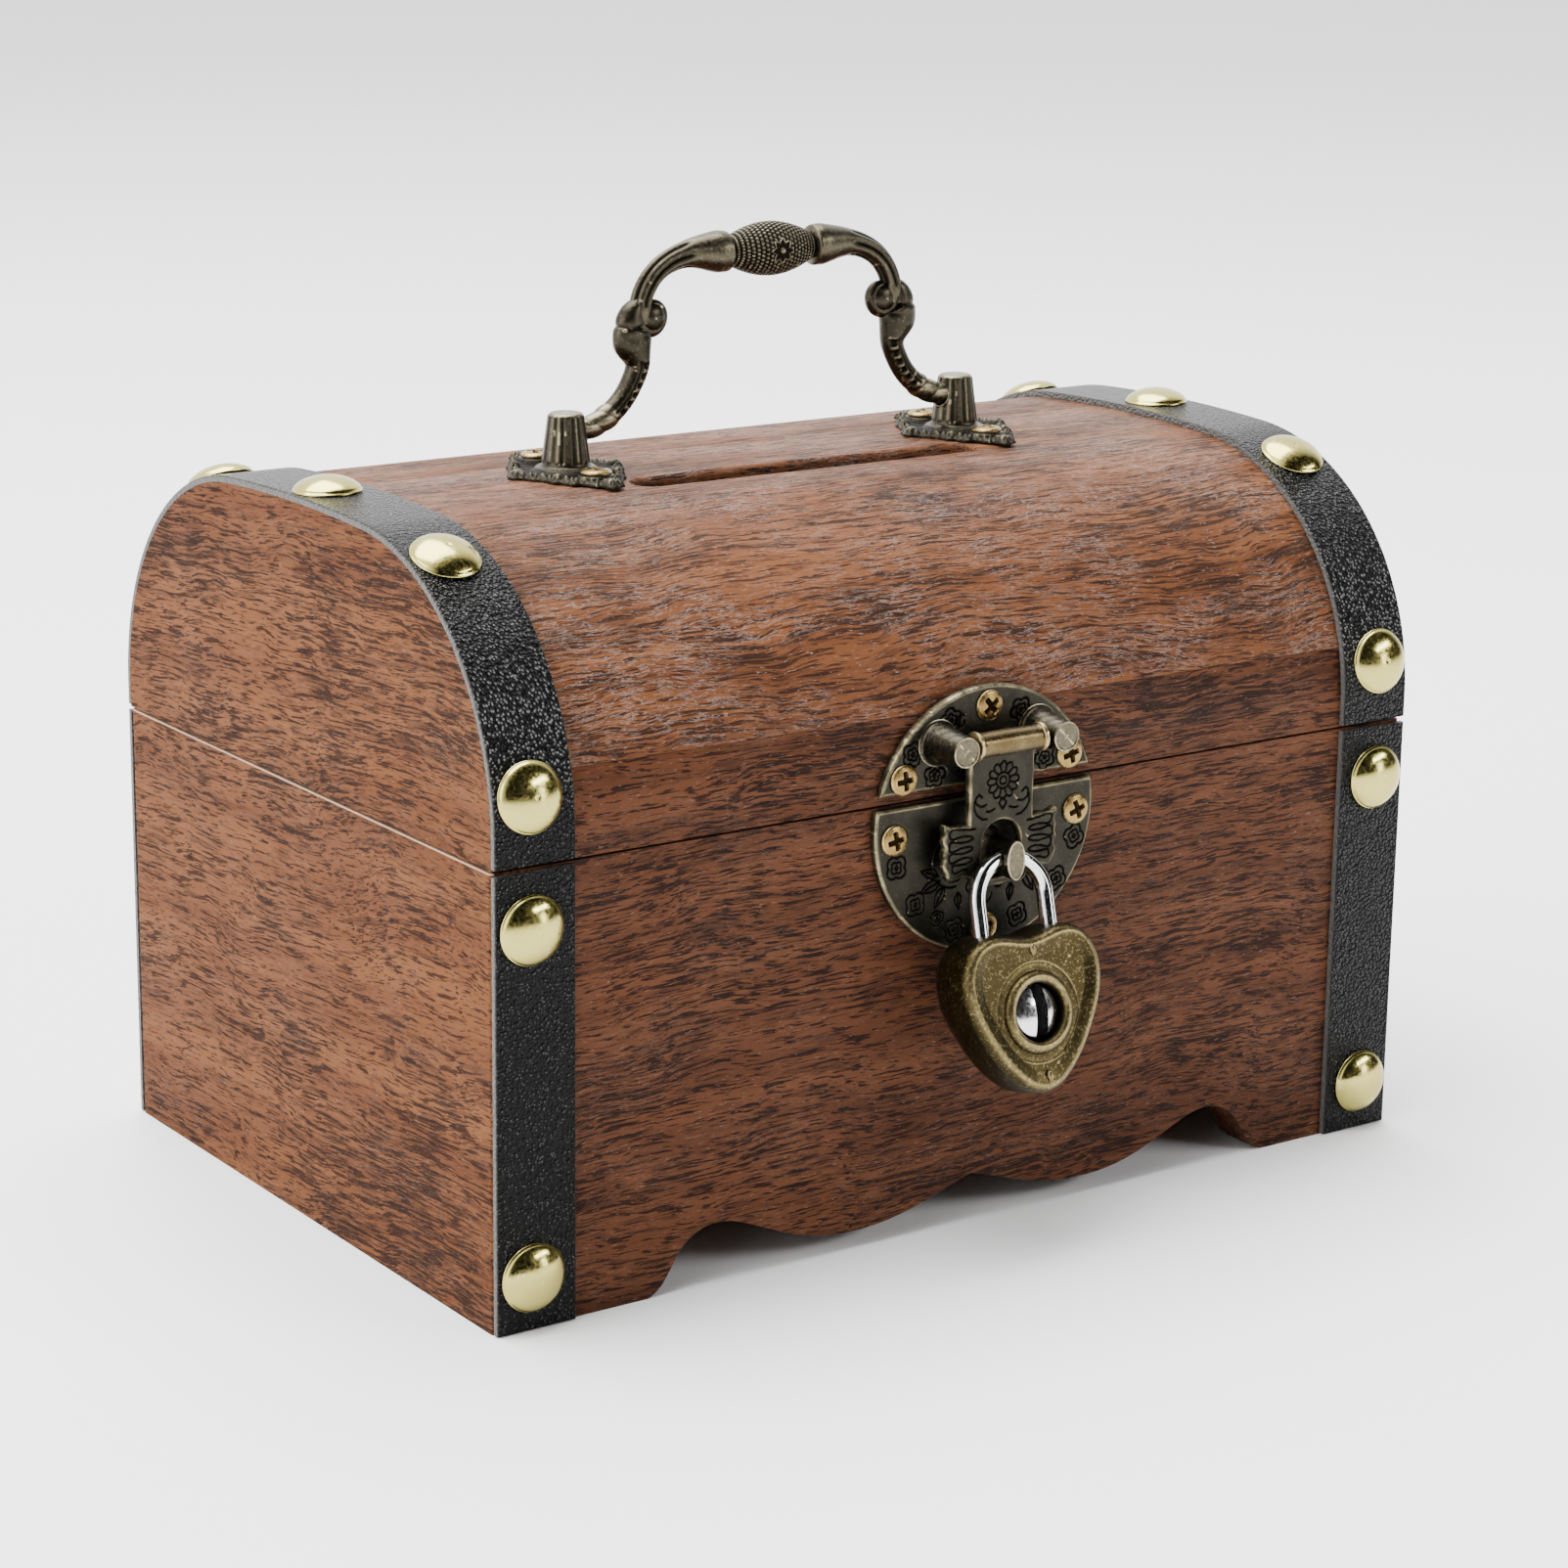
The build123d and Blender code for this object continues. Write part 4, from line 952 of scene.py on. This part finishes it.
drilled = staple.modifiers.new("eye", "BOOLEAN")
drilled.operation, drilled.object, drilled.solver = "DIFFERENCE", cutter_ob, "EXACT"
bpy.context.view_layer.update()
deps = bpy.context.evaluated_depsgraph_get()
made = bpy.data.meshes.new_from_object(staple.evaluated_get(deps))
staple.modifiers.clear()
staple.data = made
made.set_sharp_from_angle(angle=radians(35))
bpy.data.objects.remove(cutter_ob)

# ---- padlock
lock_at = placing(EYE, X, LOCK_UP, LOCK_OUT)
LOCK_C = float((PLUG - EYE) @ LOCK_UP)
LEG_X = high("padlock_shackle")[0] - ROD_R
bow = [(-LEG_X, w) for w in np.linspace(-25.0, -LEG_X - 1, 14)]
bow += [(LEG_X * sin(t), -LEG_X + LEG_X * cos(t)) for t in np.linspace(-pi / 2, pi / 2, 40)]
bow += [(LEG_X, w) for w in np.linspace(-LEG_X - 1, -13.8, 8)]
v, f = skin(tube(lock_at, [(u, w, ROD_R, ROD_R) for u, w in bow], 180, 40))
mesh("padlock_bow", v, f, CHROME, "shackle", "shackle_steel", ["padlock_shackle"])

TOP_W, TIP_W = -10.4, -31.6
right = spline([(0, TOP_W), (1.5, TOP_W + 0.2), (3.4, TOP_W + 0.65), (6.0, TOP_W + 0.9),
    (8.6, TOP_W + 0.15), (10.7, TOP_W - 2.1), (11.5, TOP_W - 5.4), (10.9, TOP_W - 9.3), (9.2, TOP_W - 13.0),
    (6.9, TIP_W + 4.6), (4.3, TIP_W + 1.85), (2.1, TIP_W + 0.45), (0, TIP_W)], 130)
heart = np.vstack([right, (right * (-1, 1))[::-1][1:-1]])
nxt, prv = np.roll(heart, -1, 0), np.roll(heart, 1, 0)
tang = nxt - prv
tang /= np.linalg.norm(tang, axis=1)[:, None]
inward = np.stack([tang[:, 1], -tang[:, 0]], 1)
if ((heart + inward * 0.5 - (0, LOCK_C)) ** 2).sum() > ((heart - (0, LOCK_C)) ** 2).sum():
    inward = -inward
for _ in range(3):
    inward = (np.roll(inward, 1, 0) + inward * 2 + np.roll(inward, -1, 0)) / 4
BACK_W, FRONT_W = -4.3, 3.4
FACE_W = FRONT_W - 0.5
RIM_W = BACK_W + 1.1
steps = [(1.6, BACK_W), (1.0, BACK_W + 0.02), (0.55, BACK_W + 0.2), (0.2, BACK_W + 0.55), (0.03, RIM_W)]
for t in np.linspace(0.05, 1, 16):
    steps.append((-0.12 * sin(t * pi), RIM_W + (FRONT_W - 1.5 - BACK_W - 1.1) * t))
for k, drop in ((0.10, 1.0), (0.28, 0.58), (0.52, 0.28), (0.82, 0.08), (1.1, 0), (1.4, 0.03), (1.8, 0.13),
                (2.2, 0.27), (2.6, 0.39), (2.85, 0.46)):
    steps.append((k, FRONT_W - drop))
rings, rubs = [], []


def add_ring(points, w, rub):
    """One more ring of the padlock's body, with its rub mark."""
    rings.append(lock_at(points[:, 0], points[:, 1], w))
    rubs.append(np.full(len(points), rub))


for k, w in steps:
    add_ring(heart + inward * (k + 0.22), w, 0.5 * (1 - step(abs(k - 0.9), 0.1, 0.5)) * (w > FRONT_W - 0.5))
inner_ring = heart + inward * 2.92
ang = np.arctan2(inner_ring[:, 1] - LOCK_C, inner_ring[:, 0])
turned = np.stack([np.cos(ang), np.sin(ang)], 1)
for t in np.linspace(0.04, 1, 26):
    add_ring(inner_ring * (1 - t) + (turned * 6.9 + (0, LOCK_C)) * t, FACE_W, 0)
for r, w, rub in ((6.70, 0, 0.6), (6.62, -0.10, 0.0), (6.5, -0.10, 0.0), (6.3, -0.02, 0.1), (5.8, 0.0, 0),
                  (4.9, 0.0, 0), (4.1, 0.0, 0), (4.05, -1.0, 0), (4.0, -3.6, 0)):
    add_ring(turned * r + (0, LOCK_C), FACE_W + w, rub)
parts = [skin(np.array(rings))]
rubs.append(np.zeros(2))
drop = []
for q in np.linspace(0.03, pi - 0.03, 20):
    drop.append((0.48 * sin(q) * (1 + 0.25 * cos(q)), 0.85 * cos(q)))
for at in ((0.0, TOP_W - 1.9, FRONT_W - 0.12), (0.4, TIP_W + 2.4, FRONT_W - 0.18)):
    parts.append(skin(lathe(drop, lock_at(*at), LOCK_UP, X, 28)))
    rubs.append(np.full(len(parts[-1][0]), 0.45))
v, f = join(parts)
mesh("padlock_heart", v, f, OLD, "padlock", "padlock_brass", ["padlock_body"], sharp=60,
    rub=np.concatenate(rubs))

prof = [(5.55, -0.05), (5.5, 0.2), (5.32, 0.48), (5.0, 0.74), (4.7, 0.85), (4.4, 0.80), (4.1, 0.58),
    (3.92, 0.3), (3.85, -0.4), (3.85, -2.0)]
v, f = skin(lathe(prof, lock_at(0, LOCK_C, FACE_W), LOCK_OUT, X, 96), caps=False)
soot = np.repeat([0.5, 0.1, 0, 0, 0, 0, 0.3, 0.8, 1, 1], 96)
rub = np.repeat([0, 0, 0.1, 0.3, 0.6, 0.55, 0.2, 0, 0, 0], 96)
cast("padlock_bezel_ring", (v, f, soot, rub), OLD, "padlock", "padlock_brass", "padlock_bezel", sharp=60)


def plug_height(u, w, d, along):
    rho = np.hypot(u, w)
    dome = 0.75 - 1.0 * (rho / 3.65) ** 2 - 0.35 * (1 - step(d, 0, 0.3))
    slot = 1 - step(np.abs(u - 0.3), 0.92, 0.98)
    return np.where(slot > 0.5, -2.2, dome), slot, np.zeros_like(u)


plug_place = placing(lock_at(0, LOCK_C, FACE_W - 0.25), X, LOCK_UP, LOCK_OUT)
shape = relief(circle(3.66, 96), plug_height, plug_place, -3.0, grid=0.075)
cast("lock_plug_dome", shape, PLUG_STEEL, "plug", "plug_steel", "lock_plug", sharp=50)

# ---- handle feet
lift = low("handle_mount_left")[2]
tall = high("handle_mount_left")[2] - lift
bore = BAIL[2] - lift
FOOT_KEY = ((9.1, 0), (8.4, 1.3), (6.9, 2.9), (5.6, 6.0), (4.4, 7.9), (2.6, 9.9), (1.5, 11.6), (1.2, 13.0),
    (0, 13.45))
KNOBS = [(7.6, 0, 1.1), (-7.6, 0, 1.1), (0.4, 11.9, 1.0), (-0.4, -11.9, 1.0)]
KNOBS += [(a * 4.7, b * 5.6, 0.8) for a in (1, -1) for b in (1, -1)]
SCREW_OFF = 7.7


def foot_height(u, w, d, along):
    """Roped rim, knobs, a boss under the pillar and seats for both screws."""
    rope = np.exp(-(((d - 0.62) / 0.42) ** 2))
    beads = 0.60 + 0.40 * np.sin(along * 2 * pi / 0.95 + d * 2.5)
    field = step(d, 0.9, 1.5)
    boss = 1 - step(np.hypot(u, w), 3.9, 4.9)
    seat = 1 - step(np.minimum(np.hypot(u, w - SCREW_OFF), np.hypot(u, w + SCREW_OFF)), 2.3, 2.8)
    knob = np.zeros_like(u)
    for kx, kw, kr in KNOBS:
        knob = np.maximum(knob, np.sqrt(np.clip(1 - ((u - kx) ** 2 + (w - kw) ** 2) / kr**2, 0, 1)))
    vein = 0.10 * np.sin(u * 2.2 + w * 1.1) * np.sin(w * 1.9 - u * 0.6)
    h = 0.45 + rope * beads * 0.62 + vein * field * (1 - boss)
    h = np.maximum(h, 0.35 + knob * 0.85)
    h = np.maximum(h, np.maximum(boss * 0.95, seat * 1.0))
    h *= 0.55 + 0.45 * step(d, 0, 0.3)
    pit = field * (1 - boss) * (1 - np.maximum(knob, seat)) * 0.8 + rope * (1 - beads) * 0.9
    return h * 1.05, np.clip(pit, 0, 1), np.clip(rope * beads * 0.20 + knob * 0.15, 0, 1)


for tag, sx in (("left", -1), ("right", 1)):
    mx, my, _ = centre(f"handle_mount_{tag}")
    quarter = spline(FOOT_KEY, 40)
    ring = np.vstack([
        quarter, (quarter * (-1, 1))[::-1][1:], (quarter * (-1, -1))[1:], (quarter * (1, -1))[::-1][1:-1]])
    wob = 1 + 0.025 * np.sin(np.arange(len(ring)) * 2 * pi / len(ring) * 22)
    shape = relief(ring * wob[:, None], foot_height, placing((mx, my, lift), X, Y, Z))
    cast(f"handle_foot_{tag}", shape, FOOT, "lid", "antique_bronze", f"handle_mount_{tag}")

    zs = [0.9, 1.0, 1.15, 1.35, *np.linspace(1.6, tall - 0.55, 70)]
    zs += [tall - drop for drop in (0.42, 0.28, 0.12, 0.02, 0, 0, 0, 0, 0)]
    rs = [4.1, 3.75, 3.5, 3.32, *np.linspace(3.25, 2.42, 70), 2.42, 2.38, 2.22, 2.05, 1.9, 1.5, 1.0, 0.5,
        0.02]

    def flutes(s, phi, sx=sx):
        """Fluted pillar, with the bail's bore on its inner side."""
        f = np.abs(np.sin(phi * 7)) ** 0.8 - 0.5
        body = step(s, 1.4, 2.1) * (1 - step(s, tall - 0.5, tall - 0.3))
        toward = pi if sx > 0 else 0.0
        side = (phi - toward + pi) % (2 * pi) - pi
        rho = np.hypot(side * 2.75, s - bore)
        hole = 1 - step(rho, 1.38, 1.52)
        lip = np.exp(-(((rho - 1.62) / 0.14) ** 2)) * 0.10
        return 0.15 * f * body * (1 - step(rho, 2.0, 1.5)) - hole * 1.7 + lip

    rings = lathe(list(zip(rs, zs)), (mx, my, lift), Z, X, 208, flutes)
    v, f = skin(rings)
    r = np.hypot(rings[..., 0] - mx, rings[..., 1] - my)
    plain = np.array(rs)[:, None]
    soot = np.maximum(np.clip((plain - 0.35 - r) / 0.4, 0, 1),
        np.clip((plain + 0.01 - r) / 0.12, 0, 1) * 0.5)
    rub = np.clip((r - plain - 0.04) / 0.05, 0, 1) * 0.35 + (np.array(zs) > tall - 0.3)[:, None] * 0.5
    mesh(f"handle_pillar_{tag}", v, f, BRONZE, "lid", "antique_bronze", soot=capped(soot),
        rub=capped(rub, (0, 0.5)))

# ---- bail
LOWER = [(31.9, 103.9, 1.36, 1.36), (29.7, 104.15, 1.40, 1.40), (27.2, 105.0, 1.50, 1.50),
    (24.9, 106.5, 1.55, 1.55), (23.2, 108.3, 1.55, 1.55), (22.0, 110.3, 1.58, 1.55),
    (21.35, 112.3, 1.75, 1.65), (21.7, 114.0, 2.40, 1.85), (22.15, 115.5, 2.9, 2.0),
    (22.3, 116.5, 2.75, 1.95), (22.2, 117.2, 2.1, 1.7), (22.1, 117.5, 1.1, 1.0)]
LOBE = [(22.4, 116.9, 0.9, 1.1), (22.6, 117.5, 1.8, 1.6), (22.5, 118.4, 2.0, 1.75),
    (22.1, 119.5, 1.65, 1.6), (21.6, 120.6, 1.0, 1.2), (21.3, 121.6, 0.3, 0.4)]
UPPER = [(20.7, 117.9, 1.1, 1.35), (20.95, 119.2, 1.48, 1.6), (20.85, 120.6, 1.58, 1.6),
    (20.0, 122.7, 1.58, 1.6), (18.3, 124.7, 1.58, 1.6), (15.8, 126.1, 1.68, 1.65),
    (13.2, 126.75, 1.95, 1.9), (11.0, 126.85, 2.4, 2.3), (9.4, 126.8, 2.75, 2.65),
    (8.3, 126.75, 2.88, 2.78), (7.5, 126.7, 2.82, 2.72), (7.0, 126.7, 2.45, 2.4), (6.75, 126.7, 1.7, 1.7)]
SCROLL = [(21.2, 120.2, 1.05, 1.0), (21.3, 118.5, 1.05, 1.1), (20.3, 116.95, 1.0, 1.1),
    (18.7, 116.85, 0.95, 1.05), (17.65, 118.1, 0.92, 1.0), (17.85, 119.6, 0.85, 0.95),
    (19.1, 120.2, 0.75, 0.85), (19.8, 119.3, 0.62, 0.75), (19.3, 118.6, 0.4, 0.5)]


def lower_shape(s, phi):
    """Twisted wraps by the pillar, then a side channel with studs; phi 90 degrees is the front."""
    wraps = step(s, 0.3, 1.0) * (1 - step(s, 6.2, 7.2)) * 0.13 * np.abs(np.sin(phi + s * 1.25)) ** 0.6
    channel = step(s, 6.6, 7.4) * (1 - step(s, 14.6, 15.4))
    lane = np.exp(-(((np.cos(phi) - 0.40) / 0.30) ** 4)) * (np.abs(np.sin(phi)) > 0.3)
    studs = 0.5 + 0.5 * np.sign(np.sin(2 * pi * s / 1.35)) * np.abs(np.sin(2 * pi * s / 1.35)) ** 0.35
    groove = np.exp(-(((np.cos(phi) + 0.12) / 0.10) ** 2)) * 0.16
    return wraps - channel * (lane * (1 - studs) * 0.24 + groove) + channel * lane * studs * 0.05


def upper_shape(s, phi):
    """Three long flutes that open into the cup."""
    run = step(s, 1.8, 3.0) * (1 - step(s, 11.6, 13.8))
    f = np.abs(np.sin(3 * phi + pi / 2)) ** 0.5
    return -run * (1 - f) * 0.24


def bail_arm(name, place, stations, shape, soil, rubbed):
    """One run of the bail; its own hollows and ridges give the marks."""
    v, f = skin(tube(place, stations, 190, 72, shape))
    k = shape(run_along(spline(stations, 190))[:, None], around(72)[None, :])
    soot = np.clip(-k / 0.22, 0, 1) * soil
    mesh(name, v, f, BRONZE, "handle", "antique_bronze", soot=capped(soot), rub=capped(rubbed(k)))


for tag, sx in (("left", -1), ("right", 1)):
    place = placing((BAIL[0], BAIL[1], 0), X * sx, Z, -Y)
    bail_arm(f"bail_lower_{tag}", place, LOWER, lower_shape, 0.8, lambda k: np.clip(k / 0.05, 0, 1) * 0.45)
    bail_arm(f"bail_upper_{tag}", place, UPPER, upper_shape, 0.7, lambda k: step(k, -0.05, 0.0) * 0.13)
    ball = [(2.2 * sin(t), 1.6 * cos(t)) for t in np.linspace(0.02, pi - 0.02, 30)]
    parts = [skin(tube(place, LOBE, 60, 48)), skin(tube(place, SCROLL, 110, 32))]
    parts.append(skin(lathe(ball, place(19.3, 118.55, 0), -Y, X, 48)))
    v, f = join(parts)
    mesh(f"bail_scroll_{tag}", v, f, BRONZE, "handle", "antique_bronze")

# beaded grip with a star
GRIP_HALF = 7.0
GRIP_SIDES = 360
BEAD_ROWS = 36
BEAD_STEP = 0.66


def grip_radius(s):
    return 1.55 + 2.05 * np.cos(np.clip(s / GRIP_HALF, -1, 1) * pi / 2) ** 0.85


def beads(s, phi):
    """Rows of beads round the grip, and a star front and back."""
    col = s / BEAD_STEP
    shift = 0.5 * (np.floor(col) % 2)
    u = (phi / (2 * pi) * BEAD_ROWS + shift) % 1 - 0.5
    w = col % 1 - 0.5
    local = grip_radius(s)
    rr = np.hypot(u * 2 * pi * local / BEAD_ROWS, w * BEAD_STEP)
    bead = np.sqrt(np.clip(1 - (rr / (0.27 * (0.45 + 0.55 * local / 3.6))) ** 2, 0, 1)) * 0.17
    for c in (0.0, pi):
        sd = (phi - pi / 2 - c + pi) % (2 * pi) - pi
        q, t = sd * local, s
        rho, th = np.hypot(q, t), np.arctan2(q, t)
        star = 1.15 + 0.62 * np.abs((8 * th / (2 * pi)) % 1 - 0.5) * 2
        wall = np.exp(-(((rho - star) / 0.13) ** 2)) * 0.20
        core = np.sqrt(np.clip(1 - (rho / 0.45) ** 2, 0, 1)) * 0.28
        bead = np.where(rho < star + 0.10, np.maximum(wall, core), bead)
    return bead * (np.abs(s) < 6.75)


xs = np.linspace(-GRIP_HALF, GRIP_HALF, 270)
grip = lathe(list(zip(grip_radius(xs), xs)), (BAIL[0], BAIL[1], GRIP_Z), X, Z, GRIP_SIDES, beads)
v, f = skin(grip)
k = beads(np.repeat(xs[:, None], GRIP_SIDES, 1), around(GRIP_SIDES)[None, :])
soot = capped((1 - step(k, 0.0, 0.07)) * 0.85, (1, 1))
rub = capped(step(k, 0.11, 0.17) * 0.4)
cast("bail_grip", (v, f, soot, rub), BRONZE, "handle", "antique_bronze", "handle_bail")

# ---- camera, floor and light
LOOK_AT, DISTANCE = Vector((3.045, 0, 49.619)) / 1000, 0.570202
az, el, roll = radians(-34.805), radians(14.882), radians(0.73)
back = Vector((sin(az) * cos(el), -cos(az) * cos(el), sin(el)))
rightv = (-back).cross(Vector((0, 0, 1))).normalized()
upv = rightv.cross(-back)
right2 = rightv * cos(roll) + upv * sin(roll)
up2 = upv * cos(roll) - rightv * sin(roll)
cam_data = bpy.data.cameras.new("camera")
cam_data.lens, cam_data.sensor_width = 91.40, 36.0
cam_data.clip_start, cam_data.clip_end = 0.05, 60
cam = added("camera", cam_data)
m = Matrix((right2, up2, back)).transposed().to_4x4()
m.translation = LOOK_AT + back * DISTANCE
cam.matrix_world = m
bpy.context.scene.camera = cam

me = bpy.data.meshes.new("floor")
me.from_pydata([(-6, -6, 0), (6, -6, 0), (6, 6, 0), (-6, 6, 0)], [], [(0, 1, 2, 3)])
FLOOR = Mat("floor")
cloud = FLOOR.noise(FLOOR.co, 6, 3)
FLOOR = FLOOR.finish(FLOOR.mix(cloud, (0.93, 0.93, 0.93), (0.90, 0.90, 0.90)), 0.6, Specular_IOR_Level=0.2)
me.materials.append(FLOOR)
floor = added("floor", me)


LAMP_AIM = Vector((0, 0, 0.05))


def panel(name, where, size, power):
    """Soft box lamp that faces the object."""
    data = bpy.data.lights.new(name, "AREA")
    data.shape, data.size, data.size_y = "RECTANGLE", size[0], size[1]
    data.energy = power
    ob = added(name, data)
    ob.location = where
    ob.rotation_mode = "QUATERNION"
    ob.rotation_quaternion = (Vector(where) - LAMP_AIM).to_track_quat("Z", "Y")


panel("overhead", (-0.1, 0.30, 1.2), (1.2, 1.0), 48)
panel("left_box", (-1.2, 0.05, 0.5), (0.8, 0.9), 11)
panel("front_strip", (0.75, -0.95, 0.62), (0.8, 0.16), 9)
panel("front_low", (0.66, -0.98, 0.19), (0.22, 0.3), 1.6)

world = bpy.data.worlds.new("studio")
world.use_nodes = True
nt = world.node_tree
nt.nodes.clear()
out = nt.nodes.new("ShaderNodeOutputWorld")
bg = nt.nodes.new("ShaderNodeBackground")
co = nt.nodes.new("ShaderNodeTexCoord")
dot = nt.nodes.new("ShaderNodeVectorMath")
dot.operation = "DOT_PRODUCT"
dot.inputs[1].default_value = (0.35, -0.93, 0.1)
nt.links.new(co.outputs["Generated"], dot.inputs[0])
rampw = nt.nodes.new("ShaderNodeValToRGB")
for stop, at, shade in zip(rampw.color_ramp.elements, (0.05, 0.45), (1.0, 0.004)):
    stop.position, stop.color = at, (shade, shade, shade, 1)
nt.links.new(dot.outputs["Value"], rampw.inputs[0])
nt.links.new(rampw.outputs[0], bg.inputs[0])
bg.inputs[1].default_value = 2.8
nt.links.new(bg.outputs[0], out.inputs[0])
bpy.context.scene.world = world
